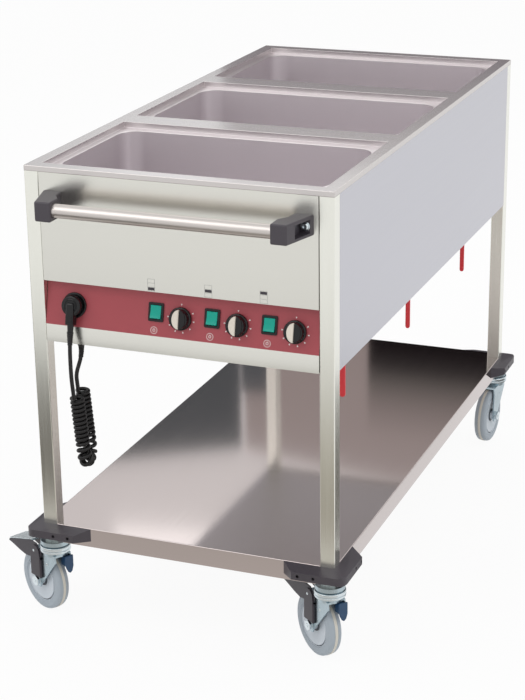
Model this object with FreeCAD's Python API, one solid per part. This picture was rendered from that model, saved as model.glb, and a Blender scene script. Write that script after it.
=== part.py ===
import FreeCAD, Part
import math
import os

# Heated serving trolley with three gastronorm 1/1 wells, four swivel casters and a lower shelf.
# Millimetres. Working frame: X = 0 on the middle line, Y = 0 at the front edge of the top,
# Z = 0 on the floor. Everything is shifted once at the end, so that the origin is the middle of
# the whole trolley's footprint (the free cord and its plug left out).

V = FreeCAD.Vector

# ---------------------------------------------------------------- driving dimensions
top_width = 584.0
top_length = 1188.0
top_height = 892.0
sheet = 1.5
rim_depth = 10.0
rim_return = 22.0

recess_width = 536.0
recess_length = 340.0
recess_depth = 11.0
recess_margin = 26.0
recess_bar = 58.0
well_count = 3
well_width = 508.0
well_length = 298.0
well_corner = 40.0
well_floor_z = 680.0
well_floor_corner = 18.0

leg = 28.0
leg_wall = 1.5
cabinet_bottom = 565.0
panel_return = 12.0
panel_gap = 0.6

slope_top_z = 681.0
slope_bottom_z = 598.0
slope_recess = 18.0
fascia_thickness = 0.8

control_pitch = 108.0
first_switch_x = -46.0
first_knob_x = 2.0
switch_v = 44.0
knob_v = 37.0
socket_x = -207.0
socket_v = 39.4

shelf_top = 197.0
shelf_edge = 38.0
shelf_return = 15.0

bumper_reach = 27.0
bumper_arm = 98.0
bumper_taper = 24.0
bumper_corner = 18.0

handle_tube_radius = 12.5
handle_y = -58.0
handle_z = 831.0
handle_block_inner = 204.0
handle_block_outer = 234.0

wheel_radius = 62.5
wheel_trail = 38.0
tyre_width = 26.0
hub_radius = 44.0
fork_gap = 32.0
fork_sheet = 3.0
axle_radius = 4.0
running_gap = 0.05
body_gap = 0.4
caster_top = 159.0
pedal_pivot_t = 39.0
pedal_pivot_z = 127.0
caster_angles = {"fl": 152.5, "fr": 141.0, "rl": -80.0, "rr": -94.0}

drain_offset = -44.0
drain_floor_x = 200.0
drain_valve_x = 262.0
drain_pipe_radius = 9.0
valve_radius = 14.0
valve_axis_z = 556.0
lever_length = 80.0
lever_width = 12.0
lever_sheet = 3.0

cord_diameter = 7.5
curl_radius = 10.0
curl_pitch = 9.0
curl_bend_pitch = 14.2
curl_bend_radius = 24.0
curl_straight = 118.0
curl_lean = 0.085

half_width = top_width / 2.0
panel_top = top_height - rim_depth
well_centres = [
    recess_margin + recess_length / 2.0 + i * (recess_length + recess_bar) for i in range(well_count)
]
leg_centres = {
    "fl": V(-half_width + leg / 2.0, leg / 2.0, 0),
    "fr": V(half_width - leg / 2.0, leg / 2.0, 0),
    "rl": V(-half_width + leg / 2.0, top_length - leg / 2.0, 0),
    "rr": V(half_width - leg / 2.0, top_length - leg / 2.0, 0),
}

nodes = {}


# ---------------------------------------------------------------- small helpers
def box(x0, x1, y0, y1, z0, z1):
    return Part.makeBox(x1 - x0, y1 - y0, z1 - z0, V(x0, y0, z0))


def centred_box(cx, cy, width, length, z0, z1):
    return box(cx - width / 2.0, cx + width / 2.0, cy - length / 2.0, cy + length / 2.0, z0, z1)


def rod(base, axis, radius, length):
    return Part.makeCylinder(radius, length, base, axis)


def prism(points, run):
    return Part.Face(Part.makePolygon(points + points[:1])).extrude(run)


def fuse(shapes):
    return shapes[0].multiFuse(shapes[1:]).removeSplitter()


def rounded(shape, radius, wanted):
    """Rounds the edges whose middle point and direction pass the test wanted(middle, direction)."""
    edges = []
    for edge in shape.Edges:
        if edge.Curve.TypeId != "Part::GeomLine":
            continue
        direction = (edge.Vertexes[-1].Point - edge.Vertexes[0].Point).normalize()
        middle = edge.CenterOfMass
        if wanted(middle, direction):
            edges.append(edge)
    return shape.makeFillet(radius, edges)


def rim_rounded(shape, radius, wanted):
    """Rounds the circular edges whose bounding box passes the test."""
    edges = [e for e in shape.Edges if e.Curve.TypeId == "Part::GeomCircle" and wanted(e.BoundBox)]
    return shape.makeFillet(radius, edges)


def upright(middle, direction):
    return abs(direction.z) > 0.99


def rounded_block(cx, cy, width, length, corner, z0, z1):
    return rounded(centred_box(cx, cy, width, length, z0, z1), corner, upright)


def hexagon(base, axis, across_flats, height):
    """A hexagonal prism on the axis, standing on base."""
    radius = across_flats / math.sqrt(3.0)
    turns = [math.radians(60 * k) for k in range(6)]
    corners = [V(radius * math.cos(a), radius * math.sin(a), 0) for a in turns]
    body = prism(corners, V(0, 0, height))
    body.Placement = FreeCAD.Placement(base, FreeCAD.Rotation(V(0, 0, 1), axis))
    return body


def tube_path(points, bends):
    """Straight runs through the points, joined by arcs of the given radii that touch both runs."""
    edges = []
    start = points[0]
    for i, radius in enumerate(bends):
        corner = points[i + 1]
        to_last = (points[i] - corner).normalize()
        to_next = (points[i + 2] - corner).normalize()
        half_turn = (math.pi - to_last.getAngle(to_next)) / 2.0
        cut = radius * math.tan(half_turn)
        first = corner + to_last * cut
        last = corner + to_next * cut
        inward = (to_last + to_next).normalize()
        middle = corner + inward * (radius / math.cos(half_turn) - radius)
        edges.append(Part.makeLine(start, first))
        edges.append(Part.Arc(first, middle, last).toShape())
        start = last
    edges.append(Part.makeLine(start, points[-1]))
    return Part.Wire(edges)


def swept(path, radius, start, direction):
    """A round bar of the given radius along the path."""
    ring = Part.Wire([Part.makeCircle(radius, start, direction)])
    return path.makePipeShell([ring], True, False)


def mirrored_x(shape):
    return shape.mirror(V(0, 0, 0), V(1, 0, 0))


def mirrored_y(shape):
    return shape.mirror(V(0, top_length / 2.0, 0), V(0, 1, 0))


# ---------------------------------------------------------------- top with its three recesses
def make_top():
    """One folded sheet: flat top, turned-down rim with a return, and a stepped recess per well."""
    outer = box(-half_width, half_width, 0, top_length, panel_top, top_height)
    outer = rounded(outer, 1.2, lambda m, d: m.z > top_height - 0.01 or upright(m, d))
    hollow = box(-half_width + sheet, half_width - sheet, sheet, top_length - sheet,
                 panel_top + sheet, top_height - sheet)
    mouth = box(-half_width + rim_return, half_width - rim_return, rim_return, top_length - rim_return,
                panel_top - 1, top_height - 2 * sheet)
    shell = outer.cut(fuse([hollow, mouth]))
    for cy in well_centres:
        tray = centred_box(0, cy, recess_width + 2 * sheet, recess_length + 2 * sheet,
                           top_height - recess_depth - sheet, top_height - 0.1)
        shell = shell.fuse(tray)
    for cy in well_centres:
        recess = centred_box(0, cy, recess_width, recess_length, top_height - recess_depth, top_height + 1)
        opening = rounded_block(0, cy, well_width, well_length, well_corner, top_height - 20, top_height + 1)
        shell = shell.cut(recess).cut(opening)
    return shell.removeSplitter()


def make_well(cy):
    """A deep-drawn basin with rounded corners and a drain hole, hung under its recess."""
    z1 = top_height - recess_depth - sheet
    outer = rounded_block(0, cy, well_width + 2 * sheet, well_length + 2 * sheet, well_corner + sheet,
                          well_floor_z, z1)
    inner = rounded_block(0, cy, well_width, well_length, well_corner, well_floor_z + sheet, z1 + 5)
    outer = outer.makeFillet(well_floor_corner + sheet, bottom_edges(outer))
    inner = inner.makeFillet(well_floor_corner, bottom_edges(inner))
    under = V(drain_floor_x, cy + drain_offset, well_floor_z - 5)
    drain = rod(under, V(0, 0, 1), drain_pipe_radius - 1.5, 20)
    return outer.cut(inner).cut(drain)


def bottom_edges(shape):
    low = shape.BoundBox.ZMin
    return [e for e in shape.Edges if e.BoundBox.ZMax < low + 0.01]


# ---------------------------------------------------------------- frame, panels and shelf
def make_leg(centre):
    """A square tube from the shelf's lower edge up to the top's rim, notched for the recess corner."""
    low = shelf_top - shelf_edge
    outer = rounded_block(centre.x, centre.y, leg, leg, 2.0, low, panel_top)
    inner = centred_box(centre.x, centre.y, leg - 2 * leg_wall, leg - 2 * leg_wall, low, panel_top)
    trays = [centred_box(0, cy, recess_width + 2 * sheet, recess_length + 2 * sheet,
                         top_height - recess_depth - sheet, top_height) for cy in well_centres]
    return outer.cut(inner).cut(Part.makeCompound(trays))


def slope_point(v, w):
    """The (y, z) of a point v up the sloped face from its bottom edge and w out of it."""
    rise = slope_top_z - slope_bottom_z
    length = math.hypot(rise, slope_recess)
    up_y = slope_recess / length
    up_z = rise / length
    return v * up_y - w * up_z, slope_bottom_z + v * up_z + w * up_y


def slope_placement(x, v, w=0.0):
    """Local X along the trolley's X, local Y up the slope, local Z out of the sloped face."""
    y, z = slope_point(v, w)
    tilt = math.degrees(math.atan2(slope_top_z - slope_bottom_z, slope_recess))
    return FreeCAD.Placement(V(x, y, z), FreeCAD.Rotation(V(1, 0, 0), tilt))


def on_slope(shape, x, v, w=0.0):
    placed = shape.copy()
    placed.Placement = slope_placement(x, v, w).multiply(placed.Placement)
    return placed


def switch_xs():
    return [first_switch_x + i * control_pitch for i in range(well_count)]


def knob_xs():
    return [first_knob_x + i * control_pitch for i in range(well_count)]


def panel_cutters():
    """What is cut out of the sloped face for the switches, the shafts and the parking socket."""
    cutters = [on_slope(centred_box(0, 0, 25.2, 29.2, -8, 8), x, switch_v) for x in switch_xs()]
    cutters += [on_slope(rod(V(0, 0, -8), V(0, 0, 1), 4.5, 16), x, knob_v) for x in knob_xs()]
    cutters.append(on_slope(rod(V(0, 0, -8), V(0, 0, 1), 21.2, 16), socket_x, socket_v))
    return cutters


def make_front_panel():
    """The folded front: an upright part, a step back, the sloped control face, an upright lip."""
    half = half_width - leg - panel_gap
    outside = [(0, panel_top), (0, slope_top_z), (slope_recess, slope_top_z), (0, slope_bottom_z),
               (0, cabinet_bottom), (panel_return, cabinet_bottom)]
    inside = [(panel_return, cabinet_bottom + sheet), (sheet, cabinet_bottom + sheet),
              (sheet, slope_bottom_z + 0.15), (slope_recess + sheet * 1.35, slope_top_z + sheet),
              (sheet, slope_top_z + sheet), (sheet, panel_top)]
    profile = [V(-half, y, z) for y, z in outside + inside]
    panel = prism(profile, V(2 * half, 0, 0))
    cutters = panel_cutters()
    cutters += [rod(V(s * 243, -5, handle_z), V(0, 1, 0), 4.2, 20) for s in (-1, 1)]
    return panel.cut(Part.makeCompound(cutters))


def make_fascia():
    """The thin printed strip on the sloped face."""
    half = half_width - leg - panel_gap
    length = math.hypot(slope_top_z - slope_bottom_z, slope_recess)
    strip = on_slope(box(-half, half, 0.3, length - 1.0, 0, fascia_thickness), 0, 0)
    return strip.cut(Part.makeCompound(panel_cutters()))


def make_side_panel():
    """The right side sheet between the legs, with a return along its bottom edge."""
    y0 = leg
    y1 = top_length - leg
    skin = box(half_width - sheet, half_width, y0, y1, cabinet_bottom, panel_top)
    fold = box(half_width - panel_return, half_width - sheet, y0, y1, cabinet_bottom, cabinet_bottom + sheet)
    return fuse([skin, fold])


def make_rear_panel():
    half = half_width - leg - panel_gap
    y = top_length
    skin = box(-half, half, y - sheet, y, cabinet_bottom, panel_top)
    fold = box(-half, half, y - panel_return, y - sheet, cabinet_bottom, cabinet_bottom + sheet)
    return fuse([skin, fold])


def make_base_plate():
    """The cabinet floor, lying on the panels' bottom returns, with holes for the valves and the gland."""
    z = cabinet_bottom + sheet
    plate = box(-half_width + sheet, half_width - sheet, sheet, top_length - sheet, z, z + sheet)
    for centre in leg_centres.values():
        plate = plate.cut(centred_box(centre.x, centre.y, leg, leg, z - 5, z + 5))
    valve_spots = [V(drain_valve_x, cy + drain_offset, z - 5) for cy in well_centres]
    holes = [rod(spot, V(0, 0, 1), valve_radius + 2, 10) for spot in valve_spots]
    holes.append(rod(V(gland_x, gland_y, z - 5), V(0, 0, 1), 8.0, 10))
    return plate.cut(Part.makeCompound(holes))


def make_shelf():
    """The lower shelf: a tray turned down at its edges, with two stiffening channels under it."""
    low = shelf_top - shelf_edge
    outer = box(-half_width, half_width, 0, top_length, low, shelf_top)
    outer = rounded(outer, 1.5, lambda m, d: m.z > shelf_top - 0.01)
    inside_x = half_width - sheet
    mouth_x = half_width - shelf_return
    hollow = box(-inside_x, inside_x, sheet, top_length - sheet, low + sheet, shelf_top - sheet)
    mouth = box(-mouth_x, mouth_x, shelf_return, top_length - shelf_return, low - 1, shelf_top - 2 * sheet)
    shelf = outer.cut(fuse([hollow, mouth]))
    channels = []
    for y in (top_length / 3.0, top_length * 2.0 / 3.0):
        outer_channel = box(-inside_x, inside_x, y - 30, y + 30, low + 8, shelf_top - sheet)
        inner_channel = box(-half_width, half_width, y - 30 + sheet, y + 30 - sheet,
                            low + 8 + sheet, shelf_top - sheet)
        channels.append(outer_channel.cut(inner_channel))
    shelf = fuse([shelf] + channels)
    for centre in leg_centres.values():
        shelf = shelf.cut(centred_box(centre.x, centre.y, leg, leg, low - 5, shelf_top + 5))
    return shelf


def make_bumper():
    """The front right corner moulding: two arms of a wedge section outside the shelf's edge."""
    edge_x = half_width
    out_x = edge_x + bumper_reach
    out_y = -bumper_reach
    arm_x = edge_x - bumper_arm
    top_in = shelf_top - 1.0
    top_out = shelf_top - 7.0
    low_out = shelf_top - 22.0
    low_in = shelf_top - 26.0
    section = [(0, top_in), (bumper_reach, top_out), (bumper_reach, low_out), (0, low_in),
               (-bumper_arm, low_in), (-bumper_arm, top_in)]
    along_x = prism([V(arm_x, -u, z) for u, z in section], V(out_x - arm_x, 0, 0))
    along_y = prism([V(edge_x + u, out_y, z) for u, z in section], V(0, bumper_arm + bumper_reach, 0))
    corner = V(out_x - bumper_corner, out_y, 0)
    corner_end = V(out_x, out_y + bumper_corner, 0)
    bulge = bumper_corner * (1.0 - math.sqrt(0.5))
    plan = Part.Wire([
        Part.makeLine(V(arm_x, 0, 0), V(arm_x + bumper_taper, out_y, 0)),
        Part.makeLine(V(arm_x + bumper_taper, out_y, 0), corner),
        Part.Arc(corner, V(out_x - bulge, out_y + bulge, 0), corner_end).toShape(),
        Part.makeLine(corner_end, V(out_x, bumper_arm - bumper_taper, 0)),
        Part.makeLine(V(out_x, bumper_arm - bumper_taper, 0), V(edge_x, bumper_arm, 0)),
        Part.makeLine(V(edge_x, bumper_arm, 0), V(arm_x, bumper_arm, 0)),
        Part.makeLine(V(arm_x, bumper_arm, 0), V(arm_x, 0, 0)),
    ])
    outline = Part.Face(plan).extrude(V(0, 0, 300))
    body = along_x.common(along_y).common(outline)
    body = body.cut(box(arm_x - 1, edge_x, 0, bumper_arm + 1, shelf_top - shelf_edge, shelf_top + 5))
    middle = (top_out + low_out) / 2.0
    holes = [rod(V(edge_x - d, out_y - 1, middle), V(0, 1, 0), 3.0, 6) for d in (32, 62)]
    holes += [rod(V(out_x + 1, d, middle), V(-1, 0, 0), 3.0, 6) for d in (40, 70)]
    return body.cut(Part.makeCompound(holes))


# ---------------------------------------------------------------- push handle
def make_bracket():
    """The right handle bracket: a block round the tube's end on an arm that leans out to the panel."""
    z0 = handle_z - 18
    z1 = handle_z + 18
    plan = [(handle_block_inner, -75), (handle_block_outer, -75), (255, 0), (220, 0), (216, -24),
            (handle_block_inner, -42)]
    body = prism([V(x, y, z0) for x, y in plan], V(0, 0, z1 - z0))
    body = rounded(body, 3.0, lambda m, d: m.y < -1 and (upright(m, d) or abs(d.z) < 0.01))
    pocket = prism([V(233, -52, 0), V(262, -52, 0), V(262, -10, 0), V(233, -10, 0)], V(0, 0, 24))
    pocket.translate(V(0, 0, handle_z - 12))
    bore = rod(V(handle_block_inner - 1, handle_y, handle_z), V(1, 0, 0), handle_tube_radius, 20)
    screw_hole = rod(V(243, -12, handle_z), V(0, 1, 0), 4.2, 20)
    return body.cut(pocket).cut(bore).cut(screw_hole)


def make_handle_tube():
    half = handle_block_inner + 19 - 1
    outer = rod(V(-half, handle_y, handle_z), V(1, 0, 0), handle_tube_radius, 2 * half)
    inner = rod(V(-half, handle_y, handle_z), V(1, 0, 0), handle_tube_radius - sheet, 2 * half)
    return outer.cut(inner)


def make_handle_screws():
    """Two M8 screws with domed heads, each with a nut behind the front sheet."""
    screws = []
    for side in (-1, 1):
        base = V(side * 243, -10, handle_z)
        head = rim_rounded(rod(base, V(0, -1, 0), 7.0, 5.0), 2.5, lambda b: b.YMax < -14.9)
        socket = hexagon(V(side * 243, -15.5, handle_z), V(0, 1, 0), 5.0, 3.0)
        shank = rod(base, V(0, 1, 0), 4.0, 22)
        nut = hexagon(V(side * 243, sheet, handle_z), V(0, 1, 0), 13.0, 6.5)
        screws.append(fuse([head, shank, nut]).cut(socket))
    return Part.makeCompound(screws)


# ---------------------------------------------------------------- controls
def make_switch_housing(x):
    """A square-fronted body that snaps into the face, hollow for its rocker."""
    bezel = rounded_block(0, 0, 29, 34, 2.5, fascia_thickness, fascia_thickness + 2.6)
    body = centred_box(0, 0, 25, 29, -20, fascia_thickness + 1)
    hollow = centred_box(0, 0, 20.8, 25.8, -9, 10)
    pins = rod(V(-12, 0, 0.5), V(1, 0, 0), 1.5 + running_gap, 24)
    return on_slope(fuse([bezel, body]).cut(hollow).cut(pins), x, switch_v)


def make_rocker(x):
    """A rocker with a shallow V top, on two short pins, tilted to its off side."""
    half = 12.6
    profile = [(-half, -5), (half, -5), (half, 5.6), (0, 4.0), (-half, 5.6)]
    body = prism([V(-10, v, w) for v, w in profile], V(20, 0, 0))
    body = body.common(rod(V(-11, 0, 0.5), V(1, 0, 0), 12.4, 22))
    pins = rod(V(-11.4, 0, 0.5), V(1, 0, 0), 1.5, 22.8)
    rocker = fuse([body, pins])
    rocker.rotate(V(0, 0, 0.5), V(1, 0, 0), -rocker_tilt)
    return on_slope(rocker, x, switch_v)


def make_knob(x):
    """A round knob with a raised finger bar and its shaft."""
    skirt = Part.makeCone(20.0, 19.2, 5.0, V(0, 0, 2.0), V(0, 0, 1))
    crown = Part.makeCone(15.6, 14.6, 11.0, V(0, 0, 6.5), V(0, 0, 1))
    crown = rim_rounded(crown, 1.2, lambda b: b.ZMin > 17.4)
    bar = rounded(centred_box(0, 0, 9.0, 29.0, 7.0, 21.0), 2.0,
                  lambda m, d: m.z > 20.9 or upright(m, d))
    shaft = rod(V(0, 0, -14), V(0, 0, 1), 3.0, 18)
    return on_slope(fuse([skirt, crown, bar, shaft]), x, knob_v)


def make_thermostat(x):
    """A capillary thermostat behind the face: a body with a threaded neck and a bulb holder."""
    body = rounded_block(0, 0, 42, 32, 3.0, -32, -4.5)
    neck = rod(V(0, 0, -5), V(0, 0, 1), 6.0, 5.0 - 2.0)
    terminals = centred_box(0, 0, 30, 8, -38, -32)
    bore = rod(V(0, 0, -15), V(0, 0, 1), 3.0 + running_gap, 30)
    return on_slope(fuse([body, neck, terminals]).cut(bore), x, knob_v)


def make_parking_socket():
    """A round blind socket that the mains plug is parked in."""
    ring = rod(V(0, 0, fascia_thickness), V(0, 0, 1), 23.5, 4.0)
    ring = rim_rounded(ring, 1.5, lambda b: b.ZMin > 4.0)
    body = rod(V(0, 0, -22), V(0, 0, 1), 21.0, 24)
    hollow = rod(V(0, 0, -14), V(0, 0, 1), 19.4, 30)
    pins = [rod(V(s * 9.5, 0, -20), V(0, 0, 1), 2.6, 10) for s in (-1, 1)]
    return on_slope(fuse([ring, body]).cut(hollow).cut(Part.makeCompound(pins)), socket_x, socket_v)


def make_plug():
    """An angled earthed plug: a round body with two pins, and an arm that runs down to the cord."""
    body = rod(V(0, 0, -13.9), V(0, 0, 1), 19.0, 33.9)
    body = rim_rounded(body, 4.0, lambda b: b.ZMin > 19.0)
    pins = [rod(V(s * 9.5, 0, -19.5), V(0, 0, 1), 2.4, 7) for s in (-1, 1)]
    arm = box(-8.0, 8.0, -34.0, 6.0, 5.0, 24.0)
    arm = rounded(arm, 4.0, lambda m, d: abs(d.y) > 0.99 or m.y > 5.9)
    boot = Part.makeCone(6.4, 5.2, 14.0, V(0, -33.5, 14.5), V(0, -1, 0))
    return on_slope(fuse([body, arm, boot] + pins), socket_x, socket_v)


def plug_exit():
    """Where the cord leaves the plug, and the way it points there."""
    place = slope_placement(socket_x, socket_v)
    start = place.multVec(V(0, -47.5, 14.5))
    return start, place.Rotation.multVec(V(0, -1, 0))


def make_gland():
    """A screwed cable gland in the cabinet floor with its lock nut inside."""
    z = cabinet_bottom + sheet
    neck = rod(V(gland_x, gland_y, z - 3), V(0, 0, 1), 7.8, 12)
    nut = hexagon(V(gland_x, gland_y, z + sheet), V(0, 0, 1), 20.0, 4.0)
    collar = hexagon(V(gland_x, gland_y, z - 5.0), V(0, 0, 1), 18.0, 5.0)
    dome = Part.makeCone(5.4, 8.8, 9.0, V(gland_x, gland_y, z - 14.0), V(0, 0, 1))
    bore = rod(V(gland_x, gland_y, z - 2), V(0, 0, 1), cord_diameter / 2.0, 40)
    return fuse([neck, nut, collar, dome]).cut(bore)


# ---------------------------------------------------------------- cord
gland_x = -206.5
gland_y = 23.5
gland_exit_z = cabinet_bottom + sheet - 14.0

coil_down = V(curl_lean, 0, -1).normalize()
coil_end_back = V(-210.0, 20.5, 496.5)
coil_across = V(5.5, -47.7, 0)
coil_across = (coil_across - coil_down * coil_across.dot(coil_down)).normalize()
coil_side = coil_down.cross(coil_across * -1.0)

in_radius = 11.0
in_angle = math.atan2(in_radius, curl_radius)
front_angle = math.radians(-117.0)
back_angle = math.radians(-51.0)


def coil_frame(s):
    """Centre, tangent and inward normal of the U that the curls wind round, s from its front top."""
    bend = math.pi * curl_bend_radius
    if s < curl_straight:
        return front_top + coil_down * s, coil_down, coil_across * -1.0
    if s < curl_straight + bend:
        angle = (s - curl_straight) / curl_bend_radius
        inward = coil_across * -math.cos(angle) - coil_down * math.sin(angle)
        hub = front_top + coil_down * curl_straight - coil_across * curl_bend_radius
        tangent = coil_down * math.cos(angle) - coil_across * math.sin(angle)
        return hub - inward * curl_bend_radius, tangent, inward
    rest = s - curl_straight - bend
    top = front_top + coil_down * curl_straight - coil_across * (2 * curl_bend_radius)
    return top - coil_down * rest, coil_down * -1.0, coil_across


def coil_pitch(s):
    """The curls lie close on the two straight halves and open out round the bottom."""
    bend = math.pi * curl_bend_radius
    ease = 30.0
    into = min(max((s - curl_straight + ease) / ease, 0.0), 1.0)
    out = min(max((curl_straight + bend + ease - s) / ease, 0.0), 1.0)
    blend = min(into, out)
    blend = blend * blend * (3.0 - 2.0 * blend)
    return curl_pitch + (curl_bend_pitch - curl_pitch) * blend


def coil_phases():
    """The turn angle along the U in small even steps, scaled to end at the wanted direction."""
    steps = 3000
    step = coil_length / steps
    angle = front_angle + in_angle
    phases = [angle]
    for k in range(steps):
        angle += 2.0 * math.pi / coil_pitch((k + 0.5) * step) * step
        phases.append(angle)
    start = phases[0]
    wanted = back_angle - in_angle
    turns = round((phases[-1] - wanted) / (2.0 * math.pi))
    scale = (wanted + 2.0 * math.pi * turns - start) / (phases[-1] - start)
    return [start + (p - start) * scale for p in phases]


def coil_point(s):
    """A point of the curly cord's middle line and its direction there."""
    steps = len(phases) - 1
    place = s / coil_length * steps
    low = min(int(place), steps - 1)
    angle = phases[low] + (phases[low + 1] - phases[low]) * (place - low)
    rate = (phases[low + 1] - phases[low]) * steps / coil_length
    centre, tangent, inward = coil_frame(s)
    radial = inward * math.cos(angle) + coil_side * math.sin(angle)
    around = coil_side * math.cos(angle) - inward * math.sin(angle)
    curvature = 0.0
    if curl_straight <= s <= curl_straight + math.pi * curl_bend_radius:
        curvature = 1.0 / curl_bend_radius
    forward = 1.0 - curvature * curl_radius * math.cos(angle)
    direction = tangent * forward + around * (curl_radius * rate)
    return centre + radial * curl_radius, direction.normalize()


def biarc(p0, t0, p1, t1):
    """Two arcs that touch at a middle point and leave the ends along t0 and t1."""
    chord = p1 - p0
    total = t0 + t1
    a = 2.0 * (1.0 - t0.dot(t1))
    b = 2.0 * chord.dot(total)
    c = -chord.dot(chord)
    reach = -c / b if abs(a) < 1e-9 else (-b + math.sqrt(b * b - 4.0 * a * c)) / (2.0 * a)
    q0 = p0 + t0 * reach
    q1 = p1 - t1 * reach
    joint = (q0 + q1) * 0.5
    return [touching_arc(p0, t0, joint), touching_arc(joint, (q1 - q0).normalize(), p1)]


def touching_arc(start, tangent, end):
    """The arc from start to end that leaves start along tangent."""
    chord = end - start
    across = chord - tangent * chord.dot(tangent)
    normal = across.normalize()
    radius = chord.dot(chord) / (2.0 * chord.dot(normal))
    centre = start + normal * radius
    out = ((start - centre) + (end - centre)).normalize()
    return Part.Arc(start, centre + out * radius, end).toShape()


def quarter_stops():
    """Places along the U, one at each quarter turn."""
    stops = [0.0]
    wanted = phases[0] + math.pi / 2.0
    steps = len(phases) - 1
    for k in range(1, steps + 1):
        while phases[k] >= wanted and phases[-1] - wanted > 0.3:
            share = (wanted - phases[k - 1]) / (phases[k] - phases[k - 1])
            stops.append((k - 1 + share) / steps * coil_length)
            wanted += math.pi / 2.0
    stops.append(coil_length)
    return stops


def entry(point, direction, backward):
    """The straight end and the quarter arc between it and the curls."""
    flat = (direction - coil_down * direction.dot(coil_down)).normalize()
    sign = 1.0 if backward else -1.0
    knee = point + flat * (sign * in_radius) - coil_down * in_radius
    return knee, knee - coil_down * cord_diameter


def make_curl():
    """The curly part as one unbroken tube, with its ends straight for one diameter."""
    stops = quarter_stops()
    samples = [coil_point(s) for s in stops]
    first_knee, first_tip = entry(samples[0][0], samples[0][1], False)
    last_knee, last_tip = entry(samples[-1][0], samples[-1][1], True)
    edges = [Part.makeLine(first_tip, first_knee)]
    edges += biarc(first_knee, coil_down, samples[0][0], samples[0][1])
    for (p0, t0), (p1, t1) in zip(samples, samples[1:]):
        edges += biarc(p0, t0, p1, t1)
    edges += biarc(samples[-1][0], samples[-1][1], last_knee, coil_down * -1.0)
    edges.append(Part.makeLine(last_knee, last_tip))
    path = Part.Wire(edges)
    report_self_gap(edges)
    print("curls", round((phases[-1] - phases[0]) / (2.0 * math.pi), 2), "length", round(path.Length, 1))
    return swept(path, cord_diameter / 2.0, first_tip, coil_down)


def report_self_gap(edges):
    """Prints the least gap between stretches of the tube that are over a third of a turn apart."""
    points = []
    for edge in edges:
        points += edge.discretize(5)[:-1]
    skip = 14
    least = 1e9
    for i, p in enumerate(points):
        for q in points[i + skip:i + skip + 90]:
            least = min(least, p.distanceToPoint(q))
    print("least gap of the curls to themselves", round(least - cord_diameter, 2))


def route_bends(points):
    """Arc radii of a cord's route: 0.45 of the shorter run over the tangent of half the turn."""
    radii = []
    for a, b, c in zip(points, points[1:], points[2:]):
        half_turn = (b - a).getAngle(c - b) / 2.0
        radii.append(0.45 * min(a.distanceToPoint(b), b.distanceToPoint(c)) / math.tan(half_turn))
    return radii


def make_lead(name, points):
    radii = route_bends(points)
    path = tube_path(points, radii)
    tube = swept(path, cord_diameter / 2.0, points[0], points[1] - points[0])
    expected = path.Length * math.pi * cord_diameter ** 2 / 4.0
    print(name, "radii", [round(r, 1) for r in radii], "length", round(path.Length, 1),
          "volume share", round(tube.Volume / expected, 4))
    return tube


def plug_lead_points():
    start, way = plug_exit()
    end = front_tip
    return [start, start + way * 26.0, end - coil_down * 28.0, end]


def gland_lead_points():
    start = V(gland_x, gland_y, gland_exit_z)
    return [start, start + V(0, 0, -18.5), back_tip - coil_down * 18.5, back_tip]


# ---------------------------------------------------------------- heating and drains
def make_heating_pad(cy):
    """A flat heating plate under the well's floor, with its two terminals."""
    plate = rounded_block(-20, cy, 400, 236, 10.0, well_floor_z - 6, well_floor_z)
    posts = [rod(V(-160, cy + s * 12, well_floor_z - 18), V(0, 0, 1), 3.0, 12) for s in (-1, 1)]
    return fuse([plate] + posts)


def make_drain_pipe(cy):
    """A welded outlet under the well and a bent pipe that leads to the right side."""
    y = cy + drain_offset
    top = V(drain_floor_x, y, well_floor_z)
    points = [top, V(drain_floor_x, y, 625), V(drain_valve_x, y, 625), V(drain_valve_x, y, valve_axis_z + 20)]
    path = tube_path(points, [22.0, 22.0])
    outer = swept(path, drain_pipe_radius, top, V(0, 0, -1))
    inner = swept(path, drain_pipe_radius - 1.5, top, V(0, 0, -1))
    flange = rod(V(drain_floor_x, y, well_floor_z - 5), V(0, 0, 1), 19.0, 5.0)
    drill = rod(V(drain_floor_x, y, well_floor_z - 6), V(0, 0, 1), drain_pipe_radius - 1.5, 8.0)
    return outer.fuse(flange).cut(inner).cut(drill).removeSplitter()


def make_drain_valve(cy):
    """A ball valve on the end of the pipe: a hexagonal collar, a stem towards the front, an open outlet."""
    x = drain_valve_x
    y = cy + drain_offset
    z = valve_axis_z
    body = rod(V(x, y, z - 15), V(0, 0, 1), valve_radius, 30)
    collar = hexagon(V(x, y, z + 12), V(0, 0, 1), 24.0, 8.0)
    outlet = rod(V(x, y, z - 17), V(0, 0, 1), 9.0, 4)
    neck = rod(V(x, y, z), V(0, -1, 0), 6.0, 20)
    stem = rod(V(x, y - 18, z), V(0, -1, 0), 2.5, 9)
    bore = rod(V(x, y, z - 30), V(0, 0, 1), 6.5, 60)
    ball = Part.makeSphere(9.0, V(x, y, z)).common(centred_box(x, y, 17, 17, z - 6, z + 6))
    return fuse([body, collar, outlet, neck, stem]).cut(bore).fuse(ball).removeSplitter()


def make_lever(cy):
    """The red handle of a drain valve, a flat bar with a cranked hub round the stem."""
    x = drain_valve_x
    y = cy + drain_offset
    z = valve_axis_z
    hub = rod(V(x, y - 20.4, z), V(0, -1, 0), 6.0, 5.0)
    front = y - 22.4
    half = lever_width / 2.0
    bar = box(x - half, x + half, front - lever_sheet, front, z - lever_length, z + 3)
    bar = rounded(bar, 5.0, lambda m, d: abs(d.y) > 0.99 and m.z < z - 10)
    bore = rod(V(x, y - 15, z), V(0, -1, 0), 2.5 + running_gap, 20)
    return fuse([hub, bar]).cut(bore)


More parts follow.
